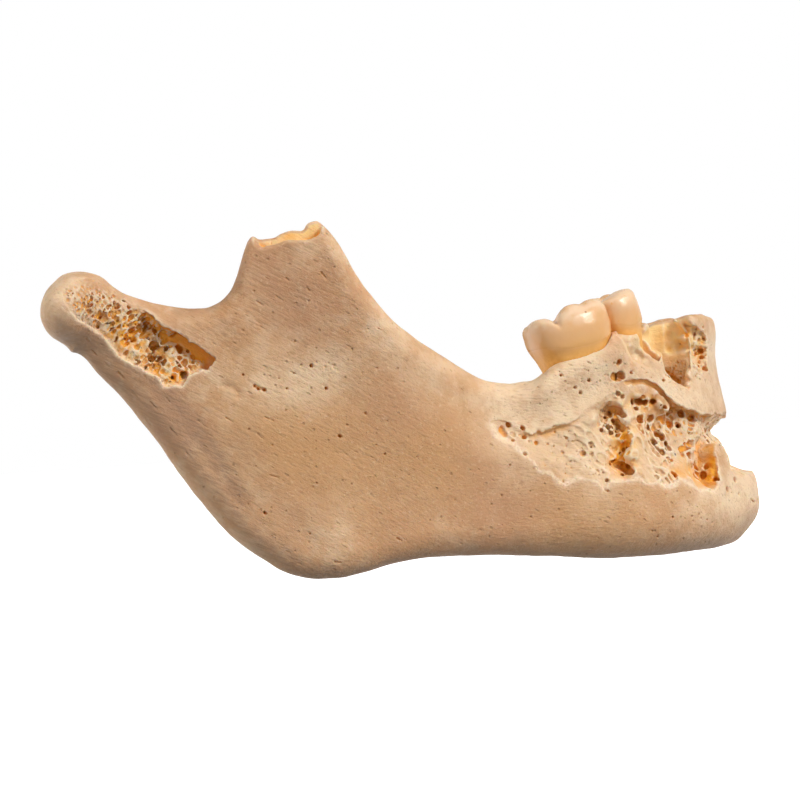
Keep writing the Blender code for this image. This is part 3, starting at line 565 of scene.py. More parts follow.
# Rosy spots: partly the bone's own pinkish tone, partly painted shade on the back border, in the neck's
# cells and in the bare patches' hollows.
ROSY_AND_SHADE_PX = [
    (285, 285, 50, 0.8), (320, 320, 44, 0.6), (150, 330, 30, 0.5), (200, 330, 30, 0.5),
    (400, 398, 46, 0.75), (400, 540, 40, 0.6), (300, 520, 36, 0.4), (660, 510, 30, 0.2),
    (94, 338, 26, 0.6), (165, 400, 30, 0.9), (640, 384, 24, 0.35), (665, 410, 20, 0.5),
    (660, 436, 22, 0.45), (116, 330, 20, 0.8), (84, 296, 20, 0.6), (650, 399, 13, 0.8),
    (180, 430, 26, 0.9), (500, 512, 52, 0.9), (110, 300, 30, 0.4), (480, 440, 30, 0.4),
    (260, 260, 24, 0.5),
]
# Greyish painted shade along the back and lower borders and the notch: (half width, strength, points), in
# pixels.
BORDER_SHADE_LINES_PX = [
    (14, 0.85, [
        (80, 350), (108, 372), (148, 404), (190, 452), (226, 500), (262, 540), (300, 570), (335, 576),
    ]),
    (14, 0.95, [(108, 342), (160, 386), (205, 440), (240, 495)]),
    (20, 0.3, [(240, 440), (262, 490), (300, 530)]),
    (10, 0.7, [(330, 580), (400, 566), (470, 562), (560, 562), (650, 560), (720, 550)]),
    (7, 0.5, [(240, 250), (236, 285), (215, 305), (180, 312)]),
]

# The bone's colours: the borders' dull tone, the line under the upper rims and the dark in pits and small
# pores are painted shade; rosy, orange and honey are partly painted shade or bounced light, and pale partly
# painted highlight.
BONE_COLOURS = {
    "tan": (0.60, 0.325, 0.155), "cream": (0.70, 0.41, 0.215), "golden": (0.62, 0.34, 0.15),
    "pale": (0.88, 0.66, 0.44), "border_shade": (0.37, 0.215, 0.125), "streak": (0.46, 0.26, 0.13),
    "fresh": (0.84, 0.60, 0.375), "orange": (0.90, 0.39, 0.025), "pit_shade": (0.50, 0.235, 0.055),
    "edge": (0.93, 0.75, 0.55), "pore_shade": (0.46, 0.25, 0.11), "honey": (0.95, 0.67, 0.31),
    "rosy": (0.53, 0.275, 0.145), "rim_shadow": (0.72, 0.37, 0.10),
}
# Orange in the deep parts of the hollows, partly the bone's inner colour and partly painted warm shade: (x,
# y, spread), in pixels, and strength.
ORANGE_AND_SHADE_PX = [
    (612, 412, 9, 0.9), (618, 424, 7, 0.7), (664, 338, 7, 0.35), (687, 330, 6, 0.5), (623, 436, 8, 0.9),
    (625, 446, 8, 1.0), (620, 457, 8, 0.9), (626, 468, 9, 1.0), (612, 462, 5, 0.6), (714, 478, 8, 0.9),
    (704, 476, 12, 0.6), (714, 462, 8, 0.9), (713, 450, 7, 0.7), (640, 401, 8, 0.4), (652, 401, 5, 0.6),
    (686, 470, 12, 0.4), (675, 474, 5, 0.7), (158, 327, 10, 1.0), (172, 336, 12, 1.0),
    (186, 346, 13, 1.0), (202, 358, 13, 1.0), (182, 376, 8, 0.7), (160, 372, 14, 0.55),
    (154, 352, 22, 0.55), (176, 382, 12, 0.5), (146, 320, 10, 0.7), (130, 325, 18, 0.55),
    (122, 340, 22, 0.65), (701, 353, 6, 0.9), (688, 334, 4, 0.6), (704, 340, 4, 0.6), (673, 376, 7, 0.6),
    (648, 348, 5, 0.5), (655, 354, 4, 0.4), (290, 236, 8, 0.5), (640, 420, 5, 0.5), (680, 413, 6, 0.3),
    (102, 310, 18, 0.35), (640, 399, 14, 0.3), (665, 412, 18, 0.25), (650, 430, 18, 0.2),
    (615, 377, 8, 0.6), (619, 362, 4, 0.6),
]
# Honey-coloured, smooth inner walls, their golden tone raised as painted bounced light where they lie in
# shade.
HONEY_AND_BOUNCED_LIGHT_PX = [
    (656, 338, 14, 0.8), (672, 336, 16, 1.0), (676, 352, 12, 0.7), (650, 330, 12, 0.6),
    (690, 326, 10, 0.8), (700, 346, 12, 0.6), (295, 236, 16, 1.0), (314, 230, 10, 0.9),
    (270, 242, 12, 0.6), (624, 450, 16, 0.5), (714, 470, 14, 0.5), (632, 350, 10, 0.2),
    (176, 376, 16, 0.7), (622, 437, 10, 0.7), (622, 452, 10, 0.7), (627, 468, 9, 0.5),
    (640, 402, 14, 0.3),
]
# Where the hollows are finely spongy.
SPONGY_PX = [
    (90, 305, 22, 1.0), (116, 320, 24, 1.0), (140, 345, 26, 1.0), (170, 368, 24, 0.8),
    (610, 424, 12, 0.6), (670, 430, 26, 0.6), (700, 420, 20, 0.6), (700, 460, 26, 0.5),
    (676, 374, 14, 0.8), (700, 352, 12, 0.5),
]
# The tints' tables, and whether each is kept to the right side, up to TINT_END.
TINTS = [
    ("golden", GOLDEN_PX, False), ("pale", PALE_AND_HIGHLIGHT_PX, False), ("orange", ORANGE_AND_SHADE_PX, True),
    ("honey", HONEY_AND_BOUNCED_LIGHT_PX, True), ("spongy", SPONGY_PX, True), ("rosy", ROSY_AND_SHADE_PX, True),
]
TINT_END = 5.0
# The bone's grain: how it is drawn out, and how steeply it falls on the ramus and on the body, in degrees.
GRAIN_STRETCH = (2.6, 0.42, 0.42)
GRAIN_LEANS = (30, 6)
TOOTH_COLOURS = {
    "enamel": (0.78, 0.43, 0.18), "chalk": (0.90, 0.64, 0.42), "amber": (0.78, 0.38, 0.07),
    "rust": (0.42, 0.13, 0.03), "root": (0.88, 0.47, 0.11),
}


def smooth_curve(points, x):
    """A smooth curve through (x, value) points that never swings past them, read at an array of x."""
    px, py = np.array(points, float).T
    step = np.diff(px)
    chord = np.diff(py) / step
    slope = np.zeros(len(px))
    both = chord[:-1] * chord[1:]
    slope[1:-1] = np.where(both > 0, 2 * both / np.where(both > 0, chord[:-1] + chord[1:], 1), 0)
    x = np.clip(x, px[0], px[-1])
    i = np.clip(np.searchsorted(px, x) - 1, 0, len(px) - 2)
    t = (x - px[i]) / step[i]
    return (
        py[i] * (1 + 2 * t) * (1 - t) ** 2
        + slope[i] * step[i] * t * (1 - t) ** 2
        + py[i + 1] * t * t * (3 - 2 * t)
        + slope[i + 1] * step[i] * t * t * (t - 1)
    )


def through_three(heights, values, x):
    """The same kind of curve through three values that are arrays themselves."""
    h0, h1, h2 = heights
    v0, v1, v2 = values
    below, above = (v1 - v0) / (h1 - h0), (v2 - v1) / (h2 - h1)
    both = below * above
    slope = np.where(both > 0, 2 * both / np.where(both > 0, below + above, 1), 0)
    x = np.clip(x, h0, h2)
    t = (x - h0) / (h1 - h0)
    s = (x - h1) / (h2 - h1)
    low = v0 * (1 + 2 * t) * (1 - t) ** 2 + v1 * t * t * (3 - 2 * t) + slope * (h1 - h0) * t * t * (t - 1)
    high = v1 * (1 + 2 * s) * (1 - s) ** 2 + slope * (h2 - h1) * s * (1 - s) ** 2 + v2 * s * s * (3 - 2 * s)
    return np.where(x < h1, low, high)


def segment_distances(points, u, v, closed=False):
    """Distance from each (u, v) to the nearest piece of a line through points."""
    ends = list(zip(points, points[1:] + points[:1])) if closed else list(zip(points, points[1:]))
    best = np.full(np.shape(u), 1e9)
    for (u0, v0), (u1, v1) in ends:
        du, dv = u1 - u0, v1 - v0
        share = np.clip(((u - u0) * du + (v - v0) * dv) / (du * du + dv * dv + 1e-12), 0, 1)
        best = np.minimum(best, np.hypot(u - u0 - share * du, v - v0 - share * dv))
    return best


def polygon_distances(points, u, v):
    """Distance to a closed outline, negative inside it."""
    inside = np.zeros(np.shape(u), bool)
    for (u0, v0), (u1, v1) in zip(points, points[1:] + points[:1]):
        if v0 != v1:
            crosses = ((v0 > v) != (v1 > v)) & (u < (u1 - u0) * (v - v0) / (v1 - v0) + u0)
            inside ^= crosses
    distance = segment_distances(points, u, v, closed=True)
    return np.where(inside, -distance, distance)


def scattered(points, u, v):
    """A smooth sheet through scattered (u, v, value) points."""
    total, weights = 0.0, 0.0
    for pu, pv, value in points:
        weight = 1 / ((u - pu) ** 2 + (v - pv) ** 2 + 0.15) ** 2
        total = total + weight * value
        weights = weights + weight
    return total / weights


def smooth_union(a, b, blend):
    h = np.maximum(blend - np.abs(a - b), 0) / blend
    return np.minimum(a, b) - h * h * blend / 4


def smooth_cut(a, b, blend):
    """What is left of solid a when void b is taken from it, with a softened edge."""
    return -smooth_union(-a, b, blend)


class Noise:
    """Smooth random values in space."""

    CELLS = 64

    def __init__(self, seed):
        self.table = np.random.default_rng(seed).uniform(-1, 1, self.CELLS**3).astype(np.float32)

    def __call__(self, x, y, z, size):
        low, high, share = [], [], []
        for c in (x, y, z):
            c = np.asarray(c) / size
            i = np.floor(c).astype(np.int32)
            t = (c - i).astype(np.float32)
            low.append(i % self.CELLS)
            high.append((i + 1) % self.CELLS)
            share.append(t * t * (3 - 2 * t))
        total = 0.0
        for i, wi in ((low[0], 1 - share[0]), (high[0], share[0])):
            for j, wj in ((low[1], 1 - share[1]), (high[1], share[1])):
                for k, wk in ((low[2], 1 - share[2]), (high[2], share[2])):
                    total = total + self.table[(i * self.CELLS + j) * self.CELLS + k] * (wi * wj * wk)
        return total


NOISE = Noise(SEED)


def photo_plane(points):
    """(x, z) of picture points on the plane that the picture's scale belongs to."""
    px = np.array(points, float)
    right, up = (px[:, 0] - PHOTO_CENTRE_PX) / PX_PER_MM, (PHOTO_FOOT_PX - px[:, 1]) / PX_PER_MM
    c, s = math.cos(PHOTO_TURN), math.sin(PHOTO_TURN)
    return right * c + up * s + FOOT_SHIFT[0], up * c - right * s + FOOT_SHIFT[1]


def mirrored(along):
    return 2 * MIDLINE - along


def waves(rows, u, v):
    """Sums of noise over a map: (height, which layer, size)."""
    return sum(height * NOISE(u, layer, v, size) for height, layer, size in rows)


def with_waves(value, rows, x, y, z):
    """A value with noise in space added: (height, size)."""
    for height, size in rows:
        value = value + height * NOISE(x, y, z, size)
    return value


class JawMaps:
    """The jaw unrolled: maps over (along, height), for the right side and past the midline for the left."""

    SOLID = ("outer", "inner", "edge", "rounding")
    CARVINGS = ("window", "depth", "broken", "rim", "rim_shadow")

    def __init__(self):
        rear = REAR_END + MAP_MARGIN
        self.along = np.arange(2 * MIDLINE - rear, rear, MAP_STEP)
        self.height = np.arange(*MAP_HEIGHTS, MAP_STEP)
        self.u, self.v = np.meshgrid(self.along, self.height, indexing="ij")
        is_left = self.u < MIDLINE
        same = np.where(is_left, mirrored(self.u), self.u)
        column = same[:, 0]
        drop = LEFT_DROP * np.clip((same[:, :1] - LEFT_DROP_FROM) / LEFT_DROP_OVER, 0, 1) * is_left[:, :1]
        low = smooth_curve(LOWER, column)[:, None]
        high = smooth_curve(UPPER, column)[:, None] - drop
        level = (self.v - low) / (high - low)
        self.outer = self.face(OUTER, column, level) + self.relief(OUTER_RIDGES, same)
        self.inner = self.face(INNER, column, level) - self.relief(INNER_RIDGES, same)
        self.edge = self.edge_distance(same, level, drop)
        rounding = np.where(level < 0.5, LOWER_ROUNDING, smooth_curve(UPPER_ROUNDING, column)[:, None])
        self.rounding = np.minimum(rounding, (self.outer - self.inner) / 2)
        self.carve()
        names = (*self.SOLID, *self.CARVINGS)
        self.flat = {name: getattr(self, name).astype(np.float32).ravel() for name in names}

    def distances(self, *lines):
        """Distance to the nearest of some lines."""
        return np.minimum.reduce([segment_distances(line, self.u, self.v) for line in lines])

    def carve(self):
        """The bare patches and the broken walls."""
        body_low, body_top = self.unrolled(BODY_RIM_PX), self.unrolled(BODY_TOP_PX)
        neck_rim = self.unrolled(NECK_RIM_PX)
        body_rim = self.unrolled(BODY_RIM_PX + BODY_TONGUE_PX) + BODY_FRONT_RIM + body_top
        ragged = waves(RAGGED_WAVES, self.u, self.v)
        body = polygon_distances(body_rim, self.u, self.v)
        neck = polygon_distances(neck_rim, self.u, self.v)
        self.window = np.minimum(body, neck) + 0.6 * ragged

        lower = self.distances(body_low, BODY_FRONT_RIM[FRONT_LOWER_RIM])
        upper = self.distances(body_top[BODY_UPPER_RIM])
        ramp = np.clip(lower / LOWER_RAMP, 0, 1) * np.clip(upper / UPPER_RAMP, 0, 1)
        front = smooth_curve(FRONT_PROFILE, self.v) * smooth_curve(FRONT_FADE, self.u)
        side = scattered(self.depth_points(BODY_DEPTHS_PX), self.u, self.v)
        share = np.clip((FRONT_FROM - self.u) / FRONT_BLEND, 0, 1)
        body_depth = side + (front - side) * share * share * (3 - 2 * share)
        body_depth = body_depth * (0.12 + 0.88 * ramp * (2 - ramp))
        neck_ramp = np.clip(self.distances(neck_rim[NECK_SOFT_RIM]) / NECK_RAMP, 0, 1)
        neck_depth = scattered(self.depth_points(NECK_DEPTHS_PX), self.u, self.v) * (0.2 + 0.8 * neck_ramp)
        self.depth = np.where(self.u < NECK_FROM, body_depth, neck_depth) + self.striae()

        # A pale line along the lower rims, and a line of painted shadow under the upper rims.
        lips = (body_low, neck_rim[NECK_LIP])
        rim_shadows = (*(body_top[part] for part in BODY_SHADOW_RIMS), neck_rim[NECK_SHADOW_RIM])
        for name, lines, width in (("rim", lips, LIP_WIDTH), ("rim_shadow", rim_shadows, RIM_SHADOW_WIDTH)):
            gap = self.distances(*lines) + 0.5 * ragged
            setattr(self, name, np.exp(-((gap / width) ** 2)))
        right = self.unrolled(CORONOID_BREAK_PX)
        left = [(mirrored(a), z - LEFT_DROP) for a, z in right]
        breaks = [polygon_distances(line, self.u, self.v) for line in (right, left)]
        self.broken = np.minimum(*breaks) + 0.3 * ragged

    def striae(self):
        """Fine curved ridges, sharp above and round below, on the floor of the body's bare patch."""
        bend = self.v - 0.62 * self.u + 0.02 * (self.u - 4) ** 2 + 0.5 * NOISE(self.u, 3, self.v, 2.5)
        flutes = 0.15 * (np.abs(np.sin(bend * 2.6)) - 0.6) * (0.6 + 0.4 * NOISE(self.u, 5, self.v, 1.6))
        ledges = 0.24 * NOISE(bend, 21, self.u / 4.0, 1.7)
        behind = (flutes + ledges) * np.clip((self.u + 7.5) / 3, 0, 1)
        slant = 0.8 * self.u + 0.5 * self.v
        webs = np.abs(NOISE(0.6 * slant, 9, self.v - 0.5 * self.u, 1.2)) - 0.3
        return behind + 0.35 * webs * np.clip((-5 - self.u) / 3, 0, 1) * (self.u > -27)

    def depth_points(self, rows):
        places = self.unrolled([row[:2] for row in rows])
        return [(a, z, row[2]) for (a, z), row in zip(places, rows)]

    def unrolled(self, points):
        """(along, height) of picture points on the right side's outer face."""
        x, z = photo_plane(points)
        along = np.where(x > FAN_X, -10.0, FAN_X - x)
        for _ in range(UNROLL_STEPS):
            k = np.clip(((z - self.height[0]) / MAP_STEP).astype(int), 0, len(self.height) - 1)
            i = np.clip(((along - self.along[0]) / MAP_STEP).astype(int), 0, len(self.along) - 1)
            share = np.clip((x - FAN_X) / self.outer[i, k], -1, 1)
            along = np.where(x > FAN_X, -FAN_RADIUS * np.arcsin(np.maximum(share, 0)), along)
        return list(zip(along.tolist(), z.tolist()))

    def face(self, rows, column, level):
        values = [smooth_curve([(row[0], row[k + 1]) for row in rows], column)[:, None] for k in range(3)]
        return through_three(FACE_HEIGHTS, values, level)

    def relief(self, lines, same):
        total = 0.0
        for height, width, points in lines:
            total = total + height * np.exp(-((segment_distances(points, same, self.v) / width) ** 2))
        return total

    def edge_distance(self, same, level, drop):
        """Distance to the jaw's outline in the unrolled side view, negative inside."""
        start = np.linspace(MIDLINE - 8, REAR_END, OUTLINE_POINTS)
        lower = list(zip(start, smooth_curve(LOWER, start)))
        upper = list(zip(start, smooth_curve(UPPER, start)))
        distance = np.minimum.reduce([
            segment_distances(lower, same, self.v),
            segment_distances(upper, same, self.v + drop),
            segment_distances([lower[-1], upper[-1]], same, self.v),
        ])
        inside = (level > 0) & (level < 1) & (same < REAR_END)
        return np.where(inside, -distance, distance)

    def read(self, along, height, *names):
        """The maps' values at points, between the maps' own points."""
        rows = len(self.height)
        a = np.clip((along - self.along[0]) / MAP_STEP, 0, len(self.along) - 1.001)
        h = np.clip((height - self.height[0]) / MAP_STEP, 0, rows - 1.001)
        i, k = a.astype(np.int32), h.astype(np.int32)
        a, h = (a - i).astype(np.float32), (h - k).astype(np.float32)
        flat = i * rows + k
        found = []
        for name in names:
            grid = self.flat[name]
            here = grid[flat] * (1 - h) + grid[flat + 1] * h
            ahead = grid[flat + rows] * (1 - h) + grid[flat + rows + 1] * h
            found.append(here * (1 - a) + ahead * a)
        return found


def unroll(x, y):
    """(along, reach) of points: the left side is past the midline."""
    side = np.abs(y)
    angle = np.arctan2(side, np.maximum(x - FAN_X, 1e-6))
    on_fan = x > FAN_X
    along = np.where(on_fan, (angle - math.pi / 2) * FAN_RADIUS, FAN_X - x)
    reach = np.where(on_fan, np.hypot(x - FAN_X, side), side)
    return np.where(y > 0, mirrored(along), along), reach


def rolled(along, reach):
    """(x, y) of points given by along and reach."""
    is_left = along < MIDLINE
    same = np.where(is_left, mirrored(along), along)
    angle = math.pi / 2 + np.minimum(same, 0) / FAN_RADIUS
    x = np.where(same >= 0, FAN_X - same, FAN_X + reach * np.cos(angle))
    side = np.where(same >= 0, reach, reach * np.sin(angle))
    return x, np.where(is_left, side, -side)


def spindle_field(x, y, z, centre, half_sizes, turn=0.0, lean=0.0):
    """Distance to a ball stretched along its axes, nearly, and leaning in the side view."""
    dx, dy, dz = x - centre[0], y - centre[1], z - centre[2]
    c, s = math.cos(turn), math.sin(turn)
    a, b, h = half_sizes
    p = (dx * c + dy * s) / a
    q = (dy * c - dx * s) / b
    r = dz / h
    size = np.sqrt(p * p + q * q + r * r + 2 * lean * p * r) + 1e-9
    slope = np.sqrt(((p + lean * r) / a) ** 2 + (q / b) ** 2 + ((r + lean * p) / h) ** 2) + 1e-9
    return size * (size - 1) / slope


def jaw_field(maps, x, y, z):
    """Distance to the plain jaw's surface, negative inside."""
    along, reach = unroll(x, y)
    same = np.where(along < MIDLINE, mirrored(along), along)
    front = np.clip((-8 - same) / 6, 0, 1) * np.clip((z - 20) / 8, 0, 1)
    level = z - FRONT_SLOPE * front * (reach - FRONT_SLOPE_REACH)
    outer, inner, edge, rounding = maps.read(along, level, *maps.SOLID)
    across = np.abs(reach - (outer + inner) / 2) - (outer - inner) / 2 + rounding
    upright = edge + rounding
    body = np.hypot(np.maximum(across, 0), np.maximum(upright, 0))
    body = body + np.minimum(np.maximum(across, upright), 0) - rounding
    level = z + np.where(y > 0, LEFT_DROP, 0.0)
    condyle = spindle_field(
        x, np.abs(y), level, CONDYLE_CENTRE, CONDYLE_HALF_SIZES, CONDYLE_TURN, CONDYLE_LEAN
    )
    spine = spindle_field(x, y, z, SPINE_CENTRE, SPINE_HALF_SIZES)
    return smooth_union(smooth_union(body, condyle, CONDYLE_BLEND), spine, SPINE_BLEND)


def socket_field(along, reach, z, row):
    """Distance to one empty socket, negative inside it."""
    side, centre, middle, length, width, bottom, taper = row
    centre = centre if side == RIGHT else mirrored(centre)
    share = np.clip((z - bottom) / (SOCKET_TOP - bottom), 0, 1)
    spread = np.sqrt(np.clip((z - bottom) / 2.2, 0, 1)) * (1 - taper * (1 - share))
    across = np.hypot((along - centre) / length, (reach - middle) / width)
    return np.maximum((across - spread) * min(length, width), bottom - z)


class Scoop:
    """Hollows cut in along the line of sight, down to a floor whose depth varies."""

    SIDE_END = -4.0
    FAR = 9.0

    def __init__(self, outlines, floors, blend):
        self.blend = blend
        self.outlines = [list(zip(*photo_plane(points))) for points in outlines]
        corners = np.array(sum(self.outlines, []))
        self.low, self.high = corners.min(axis=0) - 1, corners.max(axis=0) + 1
        self.floors = list(zip(*photo_plane([row[:2] for row in floors]), [row[2] for row in floors]))

    def field(self, x, y, z):
        """Distance to the hollows, negative inside them and large when far away."""
        found = np.full(np.shape(x), self.FAR)
        near = (x > self.low[0]) & (x < self.high[0]) & (z > self.low[1]) & (z < self.high[1])
        near &= y < self.SIDE_END
        x, y, z = x[near], y[near], z[near]
        ragged = 0.12 * NOISE(x, 2, z, 0.8)
        outline = np.minimum.reduce([polygon_distances(line, x, z) for line in self.outlines]) + ragged
        found[near] = np.maximum(outline, y - scattered(self.floors, x, z))
        return found


SCOOPS = (
    Scoop((SOCKET_BREAK_PX, FRONT_BREAK_PX), SOCKET_FLOORS_PX, 0.5),
    Scoop((ROOT_HOLLOW_PX,), ROOT_HOLLOW_FLOORS_PX, 1.1),
)


def bone_field(maps, x, y, z):
    """Distance to the surface of the weathered jaw, without its small pores."""
    plain = jaw_field(maps, x, y, z)
    plain = with_waves(plain, SURFACE_WAVES, x, y, z)
    along, reach = unroll(x, y)
    window, depth, broken, outer, inner = maps.read(along, z, "window", "depth", "broken", "outer", "inner")
    middle = (outer + inner) / 2
    floor = with_waves(0.0, FLOOR_WAVES, x, y, z)
    floor = floor * np.where((x < CALM_TO) & (x > CALM_FROM), CALM_SHARE, 1.0)
    bare = np.maximum(np.maximum(window, -(plain + depth) + floor), middle + INNER_PLATE - reach)
    solid = smooth_cut(plain, bare, BARE_BLEND)
    snapped = np.maximum(broken, middle - reach + 0.3 * floor)
    solid = smooth_cut(solid, snapped, BROKEN_BLEND)
    for scoop in SCOOPS:
        solid = smooth_cut(solid, scoop.field(x, y, z) + 0.25 * floor, scoop.blend)
    for row in SOCKETS:
        solid = smooth_cut(solid, socket_field(along, reach, z, row) + 0.4 * floor, SOCKET_BLEND)
    for side in (RIGHT, LEFT):
        centre = (TROUGH_CENTRE[0], side * TROUGH_CENTRE[1], TROUGH_CENTRE[2])
        trough = spindle_field(x, y, z, centre, TROUGH_HALF_SIZES)
        solid = smooth_cut(solid, trough + 0.5 * floor, TROUGH_BLEND)
    return solid


def slope_of(field, x, y, z):
    """Unit vectors along which a field grows."""
    step = SLOPE_STEP
    found = np.stack([
        field(x + step, y, z) - field(x - step, y, z),
        field(x, y + step, z) - field(x, y - step, z),
        field(x, y, z + step) - field(x, y, z - step),
    ], axis=-1)
    return unit(found)


def sight(field, start, way):
    """Points where rays from start first meet a field's surface."""
    here = np.array(start, float)
    for _ in range(SIGHT_STEPS):
        value = field(here[:, 0], here[:, 1], here[:, 2])
        here += way * np.clip(value * 0.7, -0.3, 2.5)[:, None]
    return here


def seen(field, points):
    """The places on the bone that show at picture points."""
    x, z = photo_plane(points)
    far = CAMERA_DISTANCE
    way = np.stack([(x - AIM[0]) / far, np.ones(len(x)), (z - AIM[2]) / far], axis=-1)
    start = np.stack([x, np.full(len(x), PHOTO_PLANE_Y), z], axis=-1)
    start = start - way * (OUTSIDE_REACH + PHOTO_PLANE_Y)
    return sight(field, start, way)


def from_outside(maps, field, along, height, is_inner=False):
    """Places on the outer or inner face at (along, height)."""
    reach = np.full(len(along), OUTSIDE_REACH)
    x, y = rolled(along, reach)
    near_x, near_y = rolled(along, reach - 1)
    way = np.stack([near_x - x, near_y - y, np.zeros(len(x))], axis=-1)
    if is_inner:
        inner = maps.read(along, height, "inner")[0]
        x, y = rolled(along, inner - 2)
        way = -way
    return sight(field, np.stack([x, y, height], axis=-1), way)


class Block:
    """A box of space with a field in it, one piece of the bone."""

    COARSE = 4

    def __init__(self, name, low, high, step, cuts=()):
        self.name = name
        self.step = step * COARSENESS
        self.low = np.array(low, float)
        self.shape = tuple(int(n) for n in np.ceil((np.array(high) - self.low) / self.step) + 1)
        self.cuts = cuts
        self.field = np.full(self.shape, FAR, np.float32)

    def axes(self):
        return [self.low[i] + self.step * np.arange(self.shape[i]) for i in range(3)]

    def fill(self, function):
        """Fills the field, closely only near its surface."""
        coarse = self.COARSE
        axes = [a[::coarse] for a in self.axes()]
        grids = np.meshgrid(*axes, indexing="ij")
        rough = function(*(g.ravel() for g in grids)).reshape(grids[0].shape).astype(np.float32)
        low, high = rough, rough
        for axis in range(3):
            low = np.minimum(low, np.minimum(np.roll(low, 1, axis), np.roll(low, -1, axis)))
            high = np.maximum(high, np.maximum(np.roll(high, 1, axis), np.roll(high, -1, axis)))
        reach = self.step * coarse
        near = (low < reach) & (high > -reach)
        whole = rough
        for axis in range(3):
            whole = np.repeat(whole, coarse, axis)
            near = np.repeat(near, coarse, axis)
        cut = tuple(slice(0, n) for n in self.shape)
        shift = coarse // 2
        whole = np.roll(whole, (-shift,) * 3, (0, 1, 2))[cut]
        near = np.roll(near, (-shift,) * 3, (0, 1, 2))[cut]
        self.field[:] = np.clip(whole, -FAR, FAR)
        index = np.flatnonzero(near)
        flat = self.field.ravel()
        for start in range(0, len(index), FILL_CHUNK):
            some = index[start:start + FILL_CHUNK]
            i, j, k = np.unravel_index(some, self.shape)
            x, y, z = (self.low[n] + self.step * m for n, m in enumerate((i, j, k)))
            flat[some] = np.clip(function(x, y, z), -FAR, FAR)

    def window(self, low, high):
        """The part of the field between two corners, with its points' coordinates, or nothing."""
        first = np.maximum(np.floor((np.array(low) - self.low) / self.step), 0).astype(int)
        last = np.minimum(np.ceil((np.array(high) - self.low) / self.step) + 1, self.shape).astype(int)
        if (last <= first).any():
            return None
        axes = [self.low[n] + self.step * np.arange(first[n], last[n]) for n in range(3)]
        part = self.field[tuple(slice(a, b) for a, b in zip(first, last))]
        return part, axes[0][:, None, None], axes[1][None, :, None], axes[2][None, None, :]

    def sample(self, points):
        """The field between its own points."""
        at = (points - self.low) / self.step
        at = np.clip(at, 0, np.array(self.shape) - 1.001)
        i = at.astype(np.int32)
        t = (at - i).astype(np.float32)
        total = np.zeros(len(points), np.float32)
        flat = self.field.ravel()
        row, layer = self.shape[2], self.shape[1] * self.shape[2]
        base = i[:, 0] * layer + i[:, 1] * row + i[:, 2]
        for a in (0, 1):
            wa = t[:, 0] if a else 1 - t[:, 0]
            for b in (0, 1):
                wb = wa * (t[:, 1] if b else 1 - t[:, 1])
                for c in (0, 1):
                    total += flat[base + a * layer + b * row + c] * (wb * (t[:, 2] if c else 1 - t[:, 2]))
        return total

    def normals(self, points):
        """Unit normals of the surface at points on it."""
        step = self.step * 0.8
        found = np.empty((len(points), 3), np.float32)
        for axis in range(3):
            shift = np.zeros(3)
            shift[axis] = step
            found[:, axis] = self.sample(points + shift) - self.sample(points - shift)
        return unit(found)

    def closeness(self, points, radius):
        """How much bone is near: 0 on a flat face, towards 1 in a pit and below 0 on an edge."""
        total = 0.0
        ways = unit(np.array([
            (i, j, k) for i in (-1, 0, 1) for j in (-1, 0, 1) for k in (-1, 0, 1) if (i, j, k) != (0, 0, 0)
        ], float))
        for way in ways:
            total = total - np.clip(self.sample(points + way * radius) / radius, -1, 1)
        return total / len(ways)

    def mesh(self, triangles):
        """The zero surface as a mesh, thinned out to about so many triangles."""
        solid = self.field
        if self.cuts:
            solid = solid.copy()
            for axis, value, keep, tuck in self.cuts:
                shape = [1, 1, 1]
                shape[axis] = -1
                beyond = ((value - self.axes()[axis]) * keep).reshape(shape).astype(np.float32)
                if tuck:
                    solid += TUCK * np.clip((beyond + 2 * OVERLAP) / (2 * OVERLAP), 0, 1)
                np.maximum(solid, beyond, out=solid)
        grid = openvdb.FloatGrid(FAR)
        grid.copyFromArray(solid)
        points, quads = grid.convertToQuads(isovalue=0.0)
        data = mesh_from(self.name, (points * self.step + self.low) * MM, quads)
        return thinned(data, triangles)


def mesh_from(name, points, quads):
    data = bpy.data.meshes.new(name)
    data.vertices.add(len(points))
    data.vertices.foreach_set("co", points.astype(np.float32).ravel())
    data.loops.add(len(quads) * 4)
    data.loops.foreach_set("vertex_index", quads.astype(np.int32).ravel())
    data.polygons.add(len(quads))
    data.polygons.foreach_set("loop_start", np.arange(0, len(quads) * 4, 4, dtype=np.int32))
    data.update(calc_edges=True)
    return data


def thinned(data, triangles):
    """A copy of the mesh with fewer triangles, fewest where it is smooth."""
    ratio = triangles / (2 * len(data.polygons))
    carrier = bpy.data.objects.new(data.name + "_full", data)
    bpy.context.scene.collection.objects.link(carrier)
    thin = carrier.modifiers.new("thin", "DECIMATE")
    thin.ratio = min(1.0, ratio)
    thin.use_collapse_triangulate = True
    made = bpy.data.meshes.new_from_object(carrier.evaluated_get(bpy.context.evaluated_depsgraph_get()))
    bpy.data.objects.remove(carrier)
    bpy.data.meshes.remove(data)
    made.validate()
    return made


def capsule(x, y, z, start, end, start_radius, end_radius):
    """Distance to a round bar whose ends may differ."""
    axis = end - start
    dx, dy, dz = x - start[0], y - start[1], z - start[2]
    share = np.clip((dx * axis[0] + dy * axis[1] + dz * axis[2]) / (axis @ axis + 1e-12), 0, 1)
    gap = np.sqrt((dx - share * axis[0]) ** 2 + (dy - share * axis[1]) ** 2 + (dz - share * axis[2]) ** 2)
    return gap - (start_radius + (end_radius - start_radius) * share)


def stamp(blocks, start, end, start_radius, end_radius, blend):
    """Takes a round bar from the blocks."""
    wide = max(start_radius, end_radius) + 0.5
    low, high = np.minimum(start, end) - wide, np.maximum(start, end) + wide
    for block in blocks:
        found = block.window(low, high)
        if found is None:
            continue
        part, x, y, z = found
        bar = capsule(x, y, z, start, end, start_radius, end_radius).astype(np.float32)
        part[:] = smooth_cut(part, bar, blend)


def unit(rows):
    return rows / (np.linalg.norm(rows, axis=-1, keepdims=True) + 1e-9)


